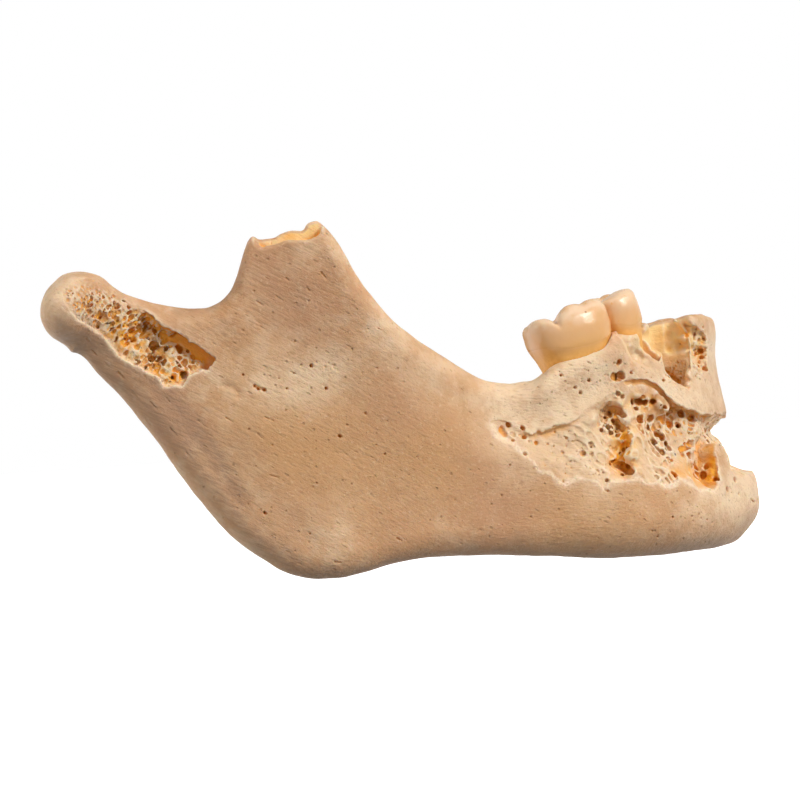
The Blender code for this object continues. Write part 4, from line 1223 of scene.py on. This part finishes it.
def pores(blocks, field, points, radii, depths, facing=0.6, shrink=0.75):
    """Small holes at picture points, partly along the line of sight so that they show as round."""
    rng = np.random.default_rng(SEED + len(points))
    spots = seen(field, points)
    out = slope_of(field, *spots.T)
    inwards = unit(facing * np.array((0.0, 1.0, 0.0)) - (1 - facing) * out)
    for spot, way, normal, radius, depth in zip(spots, inwards, out, radii, depths):
        start = spot + normal * 0.25 * radius
        stamp(blocks, start, spot + way * depth, radius, radius * shrink, PORE_BLEND)
        if radius > NIBBLED_FROM:
            for _ in range(NIBBLES):
                aside = rng.uniform(-0.75, 0.75, 3) * radius
                size = radius * rng.uniform(0.45, 0.7)
                end = spot + aside + way * depth * rng.uniform(0.4, 0.9)
                stamp(blocks, spot + aside, end, size, size * 0.6, PORE_BLEND)


def all_pores(blocks, field):
    """The pores and slits that the picture shows."""
    rows = np.array(WALL_PORES_PX)
    radii = rows[:, 2] / PX_PER_MM
    pores(blocks, field, rows[:, :2], radii * 0.85, 0.25 + 2.0 * radii, shrink=0.55)
    rows = np.array(PATCH_PORES_PX)
    pores(blocks, field, rows[:, :2], rows[:, 2] / PX_PER_MM, rows[:, 3], facing=0.75)
    rows = np.array(SLITS_PX)
    first, last = seen(field, rows[:, :2]), seen(field, rows[:, 2:4])
    out = slope_of(field, *((first + last) / 2).T)
    for a, b, normal, width in zip(first, last, out, rows[:, 4] / PX_PER_MM):
        for sink in (0.0, 0.22):
            stamp(blocks, a - normal * sink, b - normal * sink, width * 0.75, width * 0.6, SLIT_BLEND)


def far_pores(blocks, maps, field):
    """A few pores on the faces that the picture doesn't show."""
    rng = np.random.default_rng(SEED + 1)
    for first, last, is_inner, count in FAR_PORES:
        along = rng.uniform(first, last, count)
        same = np.where(along < MIDLINE, mirrored(along), along)
        low, high = smooth_curve(LOWER, same) + 4, smooth_curve(UPPER, same) - 4
        spots = from_outside(maps, field, along, low + (high - low) * rng.uniform(size=count), is_inner)
        inwards = -slope_of(field, *spots.T)
        for spot, way, radius in zip(spots, inwards, rng.uniform(*FAR_PORE_RADII, count)):
            stamp(blocks, spot, spot + way * radius * 1.8, radius, radius * 0.6, CHAIN_BLEND)


def chain(blocks, field, rows):
    """A groove along picture points, cut away from the eye."""
    spots = seen(field, [row[:2] for row in rows])
    radii = [row[2] / PX_PER_MM for row in rows]
    for k in range(len(rows) - 1):
        for share in (0.0, 0.5, 1.0):
            a, b = (spots[n] + np.array((0.0, rows[n][3] * share, 0.0)) for n in (k, k + 1))
            b = b + 0.25 * radii[k] * np.sin(np.array(CHAIN_WAVES) * (k + share))
            stamp(blocks, a, b, radii[k], radii[k + 1], CHAIN_BLEND)


def spread_out(rng, count, radii, across, down):
    """Random places in an oval, not closer than their sizes allow."""
    kept = []
    for radius in radii:
        for _ in range(PORE_TRIES):
            angle, share = rng.uniform(0, 2 * math.pi), math.sqrt(rng.uniform())
            x, y = across * share * math.cos(angle), down * share * math.sin(angle)
            if all((x - a) ** 2 + (y - b) ** 2 > ((radius + r) * PORE_GAP) ** 2 for a, b, r in kept):
                kept.append((x, y, radius))
                break
        if len(kept) >= count:
            break
    return np.array(kept)


def sponge(blocks, field):
    """Clusters of spongy pores, each a short round pit with a random lean."""
    rng = np.random.default_rng(SEED)
    for x, y, across, down, small, large, count, depth in SPONGE_PX:
        radii = small + (large - small) * rng.uniform(size=count) ** 1.7
        places = spread_out(rng, count, np.sort(radii)[::-1] * PX_PER_MM, across, down)
        spots = seen(field, places[:, :2] + (x, y))
        dig(blocks, field, rng, spots, places[:, 2] / PX_PER_MM, depth)


class Cells:
    """Round cells filling space, each a ball clipped by the walls between it and its neighbours."""

    SIDE = 24

    def __init__(self, seed):
        rng = np.random.default_rng(seed)
        self.spots = rng.uniform(0.12, 0.88, (self.SIDE**3, 3)).astype(np.float32)
        self.chance = rng.uniform(size=self.SIDE**3).astype(np.float32)

    def __call__(self, points):
        """Distance to the cell's middle and to its wall, the middle and a random number, at points whose
        coordinates are in units of a cell.
        """
        base = np.floor(points).astype(np.int32)
        first, second = np.full(len(points), 99.0, np.float32), np.full(len(points), 99.0, np.float32)
        near, next_near = np.zeros((len(points), 3), np.float32), np.zeros((len(points), 3), np.float32)
        number = np.zeros(len(points), np.int32)
        for step in np.ndindex(3, 3, 3):
            cell = base + np.array(step, np.int32) - 1
            wrapped = cell % self.SIDE
            index = (wrapped[:, 0] * self.SIDE + wrapped[:, 1]) * self.SIDE + wrapped[:, 2]
            spot = cell + self.spots[index]
            gap = ((points - spot) ** 2).sum(axis=1)
            is_first = gap < first
            is_second = ~is_first & (gap < second)
            second = np.where(is_first, first, np.where(is_second, gap, second))
            next_near = np.where(is_first[:, None], near, np.where(is_second[:, None], spot, next_near))
            first = np.where(is_first, gap, first)
            near = np.where(is_first[:, None], spot, near)
            number = np.where(is_first, index, number)
        wall = (second - first) / (2 * np.linalg.norm(near - next_near, axis=1) + 1e-6)
        return np.sqrt(first), wall, near, self.chance[number]


def foam(blocks, maps, field):
    """Spongy bone under the floors of the bare patches."""
    cells = Cells(SEED)
    rows = []
    for table, is_free in ((FOAM_PX, False), (FOAM_SOCKET_PX, True)):
        spots = seen(field, [row[:2] for row in table])
        places = zip(*(a.tolist() for a in unroll(*spots.T[:2])), spots[:, 2])
        for spot, (along, _, z), row in zip(spots, places, table):
            rows.append((spot, (along, z), row[2] / PX_PER_MM, row[3] / PX_PER_MM, row[4:], is_free))
    front = np.array([row[:2] for row in FOAM_FRONT])
    spots = from_outside(maps, field, front[:, 0], front[:, 1])
    rows += [(spot, row[:2], row[2], row[3], row[4:], False) for spot, row in zip(spots, FOAM_FRONT)]
    for spot, (along, height), across, down, (size, wall, depth, stretch, lean, share), is_free in rows:
        scale = np.array((size * stretch, size, size))
        turn = np.array(Euler((0, -math.radians(lean), 0)).to_matrix())
        reach = max(across, down) + 2.0
        for block in blocks:
            found = block.window(spot - reach, spot + reach)
            if found is None:
                continue
            part, x, y, z = found
            near = (part > -depth - 0.35) & (part < 0.5)
            x, y, z = (np.broadcast_to(c, part.shape)[near] for c in (x, y, z))
            points = np.stack([x, y, z], axis=-1)
            middle, to_wall, centres, chance = cells((points @ turn / scale).astype(np.float32))
            centres = centres * scale @ turn.T
            a, r = unroll(centres[:, 0], centres[:, 1])
            window, outer, inner = maps.read(a, centres[:, 2], "window", "outer", "inner")
            inside = ((a - along) / across) ** 2 + ((centres[:, 2] - height) / down) ** 2 < 1
            if not is_free:
                inside &= (window < -0.25) & (r > (outer + inner) / 2 - 0.5)
            radius = np.where(inside, size * share * (0.65 + 0.7 * chance), 0.0)
            void = np.maximum(wall / 2 - to_wall * size, middle * size - radius)
            void = np.maximum(void, -depth - part[near])
            part[near] = smooth_cut(part[near], void.astype(np.float32), CELL_BLEND)


def dig(blocks, field, rng, spots, radii, depth):
    """Leaning pits, half of them with a second one branching off."""
    inwards = -slope_of(field, *spots.T)
    for spot, way, radius in zip(spots, inwards, radii):
        lean = way + rng.uniform(-0.6, 0.6, 3)
        end = spot + lean / np.linalg.norm(lean) * depth * rng.uniform(0.5, 1.2)
        stamp(blocks, spot, end, radius, radius * rng.uniform(0.6, 1.0), SPONGE_BLEND)
        if rng.uniform() < 0.5:
            side = rng.uniform(-1, 1, 3)
            stamp(blocks, end, end + side * depth * 0.6, radius * 0.8, radius * 0.5, SPONGE_BLEND)


def tooth_form(rows, z):
    """The values of a tooth's rows at heights z."""
    return [smooth_curve([(row[0], row[k]) for row in rows], z) for k in range(1, len(rows[0]))]


def column(x, y, a, b, power):
    """Distance to a column with rounded, squarish sections."""
    radius = (np.abs(x / a) ** power + np.abs(y / b) ** power) ** (1 / power)
    return (radius - 1) * np.minimum(a, b)


def tooth_field(kind, x, y, z):
    """Distance to a tooth's surface in its own frame."""
    body, roots, ways, top, edge, cusps, grooves, neck = kind
    a, b = tooth_form(body, z)
    enamel = ENAMEL * np.clip((z - smooth_curve(neck, x)) / 1.2, 0, 1)
    side = column(x, y, a + enamel, b + enamel, BODY_SQUARENESS)
    mounds = 1e-6
    for cx, cy, height, spread in cusps:
        mounds = mounds + (height * np.exp(-(((x - cx) ** 2 + (y - cy) ** 2) / spread**2) ** 1.3)) ** 4
    face = top + mounds**0.25 + 0.04 * NOISE(x, y, 5 * z, 0.9)
    for x0, y0, x1, y1, depth, width in grooves:
        gap = segment_distances([(x0, y0), (x1, y1)], x, y)
        face = face - depth * np.exp(-((gap / width) ** 2))
    solid = smooth_cut(side, face - z, edge)
    solid = np.maximum(solid, body[0][0] - z)
    for way in ways:
        shift, a, b = tooth_form(roots, z)
        root = column(x - way * shift, y, a, b, ROOT_SQUARENESS)
        root = np.maximum(root, np.maximum(roots[0][0] - z, z + 0.5))
        solid = smooth_union(solid, root, 0.8)
    return solid + 0.03 * NOISE(x + 30, y, z, 1.1)


def tooth_frame(place, turn):
    """A tooth's place and its rotation as a matrix."""
    rotation = np.array(Euler([math.radians(t) for t in turn]).to_matrix())
    return np.array(place), rotation


def tooth_spaces(blocks):
    """Room for the teeth's roots in the bone."""
    for _, kind, place, turn in TEETH:
        centre, rotation = tooth_frame(place, turn)
        for block in blocks:
            found = block.window(centre - TOOTH_BELOW, centre + TOOTH_ABOVE)
            if found is None:
                continue
            part, x, y, z = found
            dx, dy, dz = x - centre[0], y - centre[1], z - centre[2]
            local = [dx * rotation[0, k] + dy * rotation[1, k] + dz * rotation[2, k] for k in range(3)]
            near = part < 0.5
            inside = tooth_field(kind, *(c[near] for c in local)) - SOCKET_GAP
            part[near] = smooth_cut(part[near], inside, ROOT_BLEND)


def make_tooth(name, kind, place, turn):
    block = Block(name, *TOOTH_BOX, TOOTH_STEP)
    block.fill(lambda x, y, z: tooth_field(kind, x, y, z))
    data = block.mesh(TOOTH_TRIANGLES / COARSENESS)
    points = vertices(data)
    centre, rotation = tooth_frame(place, turn)
    normals = block.normals(points) @ rotation.T
    heights = smooth_curve(kind[-1], points[:, 0])
    put_attribute(data, "root", np.clip(0.5 - (points[:, 2] - heights) / 2.2, 0, 1))
    put_attribute(data, "rise", points[:, 2])
    put_attribute(data, "pit", block.closeness(points, PIT_SIZE))
    data.vertices.foreach_set("co", ((points @ rotation.T + centre) * MM).astype(np.float32).ravel())
    data.normals_split_custom_set_from_vertices(normals)
    return data


def vertices(data):
    points = np.empty(len(data.vertices) * 3, np.float32)
    data.vertices.foreach_get("co", points)
    return points.reshape(-1, 3) / MM


def put_attribute(data, name, values):
    data.attributes.new(name, "FLOAT", "POINT").data.foreach_set("value", values.astype(np.float32))


def link(name, data, node):
    """Puts a mesh into the scene in the place of a solid."""
    piece = bpy.data.objects.new(name, data)
    bpy.context.scene.collection.objects.link(piece)
    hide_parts(node)
    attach(piece, "root")


class Nodes:
    """Builds a material's node tree."""

    def __init__(self, name):
        self.material = bpy.data.materials.new(name)
        self.material.use_nodes = True
        self.tree = self.material.node_tree
        self.shader = self.tree.nodes["Principled BSDF"]
        place = self.add("ShaderNodeTexCoord").outputs["Object"]
        scaled = self.add("ShaderNodeVectorMath", operation="MULTIPLY")
        self.put(scaled.inputs[0], place)
        self.put(scaled.inputs[1], (1 / MM,) * 3)
        self.object_mm = scaled.outputs[0]

    def add(self, kind, **settings):
        node = self.tree.nodes.new(kind)
        for key, value in settings.items():
            setattr(node, key, value)
        return node

    def put(self, socket, value):
        if isinstance(value, bpy.types.NodeSocket):
            self.tree.links.new(value, socket)
        else:
            socket.default_value = value

    def times(self, a, b):
        node = self.add("ShaderNodeMath", operation="MULTIPLY")
        self.put(node.inputs[0], a)
        self.put(node.inputs[1], b)
        return node.outputs[0]

    def between(self, value, low, high, to_low=0.0, to_high=1.0):
        """A smooth step: to_low where value is low, to_high where it is high."""
        node = self.add("ShaderNodeMapRange", interpolation_type="SMOOTHSTEP")
        for socket, given in zip(node.inputs, (value, low, high, to_low, to_high)):
            self.put(socket, given)
        return node.outputs[0]

    def noise(self, scale, detail, roughness, stretch=None, turn=(0, 0, 0)):
        node = self.add("ShaderNodeTexNoise")
        self.put(node.inputs["Vector"], self.stretched(stretch, turn) if stretch else self.object_mm)
        for key, value in (("Scale", scale), ("Detail", detail), ("Roughness", roughness)):
            node.inputs[key].default_value = value
        return node.outputs[0]

    def attribute(self, name):
        return self.add("ShaderNodeAttribute", attribute_name=name).outputs["Fac"]

    def mix(self, factor, a, b):
        """Colour b over colour a."""
        node = self.add("ShaderNodeMix", data_type="RGBA")
        self.put(node.inputs[0], factor)
        for socket, value in ((node.inputs[6], a), (node.inputs[7], b)):
            self.put(socket, (*value, 1.0) if isinstance(value, tuple) else value)
        return node.outputs[2]

    def mix_value(self, factor, a, b):
        node = self.add("ShaderNodeMix", data_type="FLOAT")
        for socket, value in zip(node.inputs, (factor, None, a, b)):
            if value is not None:
                self.put(socket, value)
        return node.outputs[0]

    def layer(self, colour, *layers):
        """Puts (factor, colour) layers over a colour, one after another."""
        for factor, above in layers:
            colour = self.mix(factor, colour, above)
        return colour

    def stretched(self, stretch, turn):
        mapping = self.add("ShaderNodeMapping", vector_type="TEXTURE")
        self.put(mapping.inputs["Vector"], self.object_mm)
        mapping.inputs["Rotation"].default_value = turn
        mapping.inputs["Scale"].default_value = stretch
        return mapping.outputs[0]

    def dots(self, scale, size, share, stretch=None, turn=(0, 0, 0)):
        """Round or long dots scattered over the surface: 1 in a dot's middle, 0 outside."""
        node = self.add("ShaderNodeTexVoronoi", feature="F1")
        self.put(node.inputs["Vector"], self.stretched(stretch, turn) if stretch else self.object_mm)
        node.inputs["Scale"].default_value = scale
        near = self.between(node.outputs["Distance"], size, size * 0.35)
        separate = self.add("ShaderNodeSeparateColor")
        self.put(separate.inputs[0], node.outputs["Color"])
        return self.times(near, self.between(separate.outputs[0], 1 - share, 1 - share + 0.05))

    def bump(self, height, distance, strength, before=None):
        node = self.add("ShaderNodeBump")
        self.put(node.inputs["Height"], height)
        node.inputs["Distance"].default_value = distance
        node.inputs["Strength"].default_value = strength
        if before is not None:
            self.put(node.inputs["Normal"], before)
        return node.outputs[0]

    def translucent(self, weight, radius, scale, gloss):
        """Lets light through near the surface, and sets how strongly it reflects."""
        for key, value in (
            ("Subsurface Weight", weight), ("Subsurface Radius", radius), ("Subsurface Scale", scale),
            ("Specular IOR Level", gloss),
        ):
            self.shader.inputs[key].default_value = value


def bone_material():
    """Cream to tan bone with fine grain, greyish painted shade along its borders, pale spots that are
    partly painted highlight, and orange to umber hollows that are partly painted warm shade.
    """
    n = Nodes("dry_bone")
    c = BONE_COLOURS
    depth, pit, hollow = n.attribute("depth"), n.attribute("pit"), n.attribute("hollow")
    axes = n.add("ShaderNodeSeparateXYZ")
    n.put(axes.inputs[0], n.object_mm)
    grain_ramus, grain_body = (
        n.noise(1.0, 4, 0.62, GRAIN_STRETCH, (0, math.radians(lean), 0)) for lean in GRAIN_LEANS
    )
    grain = n.mix_value(n.between(axes.outputs[0], 0, 16), grain_ramus, grain_body)
    broad, patches, speckle = n.noise(0.13, 3, 0.5), n.noise(0.42, 4, 0.6), n.noise(2.4, 3, 0.6)
    dots, fine_dots = n.dots(0.62, 0.16, 0.5), n.dots(1.5, 0.2, 0.35)
    bare = n.between(depth, 0.0, 0.3, 0.3, 1.0)
    cells = n.times(n.dots(1.9, 0.42, 0.9), n.times(bare, n.attribute("spongy")))
    slits = n.dots(0.95, 0.24, 0.2, (2.2, 1.0, 0.8), (0, math.radians(GRAIN_LEANS[0]), 0))
    slits = n.times(slits, n.between(depth, 0.4, 0.15))
    inside, deeper = n.between(depth, 0.18, 0.5), n.between(depth, 0.15, 0.5)
    rosy, spongy = n.attribute("rosy"), n.attribute("spongy")

    colour = n.layer(
        c["tan"],
        (n.between(broad, 0.38, 0.62), c["cream"]),
        (n.between(patches, 0.42, 0.66, 0.0, 0.5), c["pale"]),
        (n.attribute("golden"), c["golden"]),
        # Rosy spots, partly the bone's tone and partly painted shade.
        (n.times(rosy, 0.7), c["rosy"]),
        # Pale spots, partly cream bone and partly painted highlight.
        (n.times(n.attribute("pale"), n.between(patches, 0.3, 0.55, 0.5, 1.0)), c["pale"]),
        (n.between(speckle, 0.55, 0.75, 0.0, 0.35), c["pale"]),
        # Painted shade along the back and lower borders, broken up by the grain.
        (n.times(n.attribute("border_shade"), n.between(grain, 0.35, 0.62, 1.0, 0.55)), c["border_shade"]),
        (n.between(grain, 0.44, 0.28, 0.0, 0.55), c["streak"]),
        # Small pits darkened with painted shade over their bumps.
        (n.times(dots, 0.6), c["pore_shade"]),
        (n.times(fine_dots, 0.35), c["pore_shade"]),
        (n.times(slits, 0.4), c["pore_shade"]),
        (n.times(inside, 0.85), c["fresh"]),
        # Painted shade, rosy, in the hollows of the bare patches.
        (n.times(n.times(rosy, inside), 0.8), c["rosy"]),
        # Painted warm shade, orange, in the small cells of spongy places.
        (n.times(cells, 0.5), c["orange"]),
        # Honey walls: their golden tone, raised as painted bounced light.
        (n.times(n.attribute("honey"), deeper), c["honey"]),
        # Painted warm shade, orange, in wide hollows.
        (n.between(hollow, 0.05, 0.4, 0.0, 0.8), c["orange"]),
        # A line of painted shadow under the upper rims.
        (n.times(n.attribute("rim_shadow"), n.between(depth, 0.15, 0.5, 0.0, 0.85)), c["rim_shadow"]),
        # Orange spots: the bone's inner colour and painted warm shade.
        (n.times(n.attribute("orange"), n.between(depth, 0.12, 0.6)), c["orange"]),
        # Painted shade in pits: orange in spongy places, darkest in the deepest pits.
        (n.times(spongy, n.between(pit, 0.0, 0.22, 0.0, 0.9)), c["orange"]),
        (n.between(pit, 0.25, 0.65, 0.0, 0.7), c["pit_shade"]),
        (n.between(pit, -0.06, -0.35, 0.0, 0.85), c["edge"]),
        (n.times(n.attribute("rim"), n.between(speckle, 0.3, 0.6, 0.35, 0.9)), c["edge"]),
    )
    n.put(n.shader.inputs["Base Color"], colour)
    n.put(n.shader.inputs["Roughness"], n.between(patches, 0.3, 0.7, 0.5, 0.68))
    n.translucent(0.25, (1.0, 0.42, 0.12), 1.2 * MM, 0.3)

    normal = n.bump(grain, 0.3 * MM, 0.7)
    for height, distance, strength in (
        (n.times(slits, -1.0), 0.16, 0.7), (n.times(cells, -1.0), 0.2, 0.7), (speckle, 0.12, 0.7),
        (n.times(dots, -1.0), 0.15, 0.8), (n.times(fine_dots, -1.0), 0.1, 0.6),
    ):
        normal = n.bump(height, distance * MM, strength, normal)
    n.put(n.shader.inputs["Normal"], normal)
    return n.material


def tooth_material():
    """Worn enamel, glossy and a little pink, over amber roots."""
    n = Nodes("tooth")
    c = TOOTH_COLOURS
    broad, fine = n.noise(0.28, 3, 0.5), n.noise(1.6, 4, 0.6)
    pit, rise, is_root = n.attribute("pit"), n.attribute("rise"), n.attribute("root")
    chalky = n.times(n.between(broad, 0.34, 0.58, 0.25, 1.0), n.between(rise, 2.4, 5.2, 0.1, 1.0))
    colour = n.layer(
        c["enamel"],
        (chalky, c["chalk"]),
        (n.between(rise, 3.4, -0.8, 0.0, 0.8), c["amber"]),
        (n.between(pit, 0.12, 0.4, 0.0, 0.8), c["amber"]),
        (n.between(fine, 0.62, 0.74, 0.0, 0.5), c["amber"]),
        (is_root, n.mix(n.between(fine, 0.35, 0.65), c["amber"], c["root"])),
        (n.times(n.dots(0.5, 0.12, 0.22), 0.7), c["rust"]),
    )
    n.put(n.shader.inputs["Base Color"], colour)
    n.put(n.shader.inputs["Roughness"], n.mix_value(is_root, 0.26, 0.5))
    n.translucent(0.15, (1.0, 0.5, 0.25), 1.0 * MM, 0.5)
    n.put(n.shader.inputs["Normal"], n.bump(fine, 0.06 * MM, 0.5))
    return n.material


def soft_spots(rows, x, z):
    """Sum of soft round spots given by picture points."""
    total = 0.0
    px, pz = photo_plane([row[:2] for row in rows])
    for cx, cz, row in zip(px, pz, rows):
        size = row[2] / PX_PER_MM
        total = total + row[3] * np.exp(-(((x - cx) ** 2 + (z - cz) ** 2) / size**2))
    return np.clip(total, 0, 1)


def tint(data, points):
    """The soft tints, as attributes: some of them only on the right side, which the picture shows."""
    x, y, z = points.T
    for name, rows, only_right in TINTS:
        put_attribute(data, name, soft_spots(rows, x, z) * (y < TINT_END if only_right else 1.0))
    # Painted shade along the borders, the strongest line winning where they meet.
    border_shade = 0.0
    for width, strength, line in BORDER_SHADE_LINES_PX:
        gap = segment_distances(list(zip(*photo_plane(line))), x, z) * PX_PER_MM / width
        border_shade = np.maximum(border_shade, strength * np.exp(-gap * gap))
    put_attribute(data, "border_shade", border_shade)


def add_camera():
    """The photograph's view: from far away, rolled so that the chin comes up."""
    data = bpy.data.cameras.new("camera")
    camera = bpy.data.objects.new("camera", data)
    bpy.context.scene.collection.objects.link(camera)
    data.lens = LENS
    data.sensor_width = SENSOR
    data.clip_end = CAMERA_CLIP
    c, s = math.cos(PHOTO_TURN), math.sin(PHOTO_TURN)
    back = (CAMERA_DISTANCE - PHOTO_PLANE_Y) * MM
    turn = Matrix(((c, s, 0), (0, 0, -1), (-s, c, 0)))
    camera.matrix_world = Matrix.Translation((AIM[0] * MM, -back, AIM[2] * MM)) @ turn.to_4x4()
    bpy.context.scene.camera = camera


def add_world():
    """White surroundings, darker above and below."""
    world = bpy.data.worlds.new("studio")
    world.use_nodes = True
    nodes, links = world.node_tree.nodes, world.node_tree.links
    place = nodes.new("ShaderNodeTexCoord")
    axes = nodes.new("ShaderNodeSeparateXYZ")
    links.new(place.outputs["Generated"], axes.inputs[0])
    lower = nodes.new("ShaderNodeMath")
    lower.operation = "MINIMUM"
    for socket, values in zip(lower.inputs, WORLD_RAMPS):
        ramp = nodes.new("ShaderNodeMapRange")
        ramp.interpolation_type = "SMOOTHSTEP"
        for given, value in zip(list(ramp.inputs)[1:5], values):
            given.default_value = value
        links.new(axes.outputs[2], ramp.inputs[0])
        links.new(ramp.outputs[0], socket)
    links.new(lower.outputs[0], nodes["Background"].inputs["Strength"])
    nodes["Background"].inputs["Color"].default_value = (1, 1, 1, 1)
    bpy.context.scene.world = world
    bpy.context.scene.view_settings.view_transform = "Standard"


def add_lights():
    """Soft round lamps, all turned to the part."""
    for name, place, size, power, colour in LIGHTS:
        lamp = bpy.data.objects.new(name, bpy.data.lights.new(name, "AREA"))
        lamp.data.shape = "DISK"
        lamp.data.size = size
        lamp.data.energy = power
        lamp.data.color = colour
        lamp.location = place
        way = Vector(LIGHT_AIM) - lamp.location
        lamp.rotation_euler = way.to_track_quat("-Z", "Y").to_euler()
        bpy.context.scene.collection.objects.link(lamp)


def add_floor():
    """A plain pale floor just under the part."""
    data = bpy.data.meshes.new("floor")
    corners = [(x * FLOOR_HALF, y * FLOOR_HALF, 0) for x, y in ((-1, -1), (1, -1), (1, 1), (-1, 1))]
    data.from_pydata(corners, [], [(0, 1, 2, 3)])
    floor = bpy.data.objects.new("floor", data)
    floor.location.z = -FLOOR_DROP
    floor.visible_diffuse = False
    n = Nodes("pale_floor")
    n.shader.inputs["Base Color"].default_value = (0.9, 0.9, 0.9, 1)
    n.shader.inputs["Roughness"].default_value = 0.9
    n.shader.inputs["Emission Color"].default_value = (1, 1, 1, 1)
    n.shader.inputs["Emission Strength"].default_value = FLOOR_GLOW
    data.materials.append(n.material)
    bpy.context.scene.collection.objects.link(floor)


def dress_bone(maps, block, limit, material):
    """A block's mesh with its tints, in the place of the solid bone."""
    data = block.mesh(limit / COARSENESS**2)
    points = vertices(data)
    put_attribute(data, "depth", -jaw_field(maps, *points.T))
    put_attribute(data, "pit", block.closeness(points, PIT_SIZE))
    put_attribute(data, "hollow", block.closeness(points, HOLLOW_SIZE))
    along, reach = unroll(points[:, 0], points[:, 1])
    rim, rim_shadow, outer, inner = maps.read(along, points[:, 2], "rim", "rim_shadow", "outer", "inner")
    is_outer = reach > (outer + inner) / 2
    put_attribute(data, "rim", rim * is_outer)
    put_attribute(data, "rim_shadow", rim_shadow * is_outer)
    tint(data, points)
    data.shade_smooth()
    data.normals_split_custom_set_from_vertices(block.normals(points))
    data.materials.append(material)
    link(block.name, data, "mandible")


def main():
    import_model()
    maps = JawMaps()

    def field(x, y, z):
        return bone_field(maps, x, y, z)

    blocks = [Block(name, low, high, step, cuts) for name, low, high, step, _, cuts in BLOCKS]
    for block in blocks:
        block.fill(field)
    for start, end, radius in NERVE_HOLES:
        stamp(blocks, np.array(start), np.array(end), radius, radius, NERVE_BLEND)
    for line in (CLEFT_PX, CLUSTER_PX, ARCH_PX):
        chain(blocks, field, line)
    foam(blocks, maps, field)
    sponge(blocks, field)
    all_pores(blocks, field)
    far_pores(blocks, maps, field)
    tooth_spaces(blocks)
    bone, tooth = bone_material(), tooth_material()
    for block, row in zip(blocks, BLOCKS):
        dress_bone(maps, block, row[4], bone)
    for name, kind, place, turn in TEETH:
        data = make_tooth(name + "_crown_and_roots", kind, place, turn)
        data.materials.append(tooth)
        link(name + "_crown_and_roots", data, name)
    add_camera()
    add_world()
    add_lights()
    add_floor()


main()
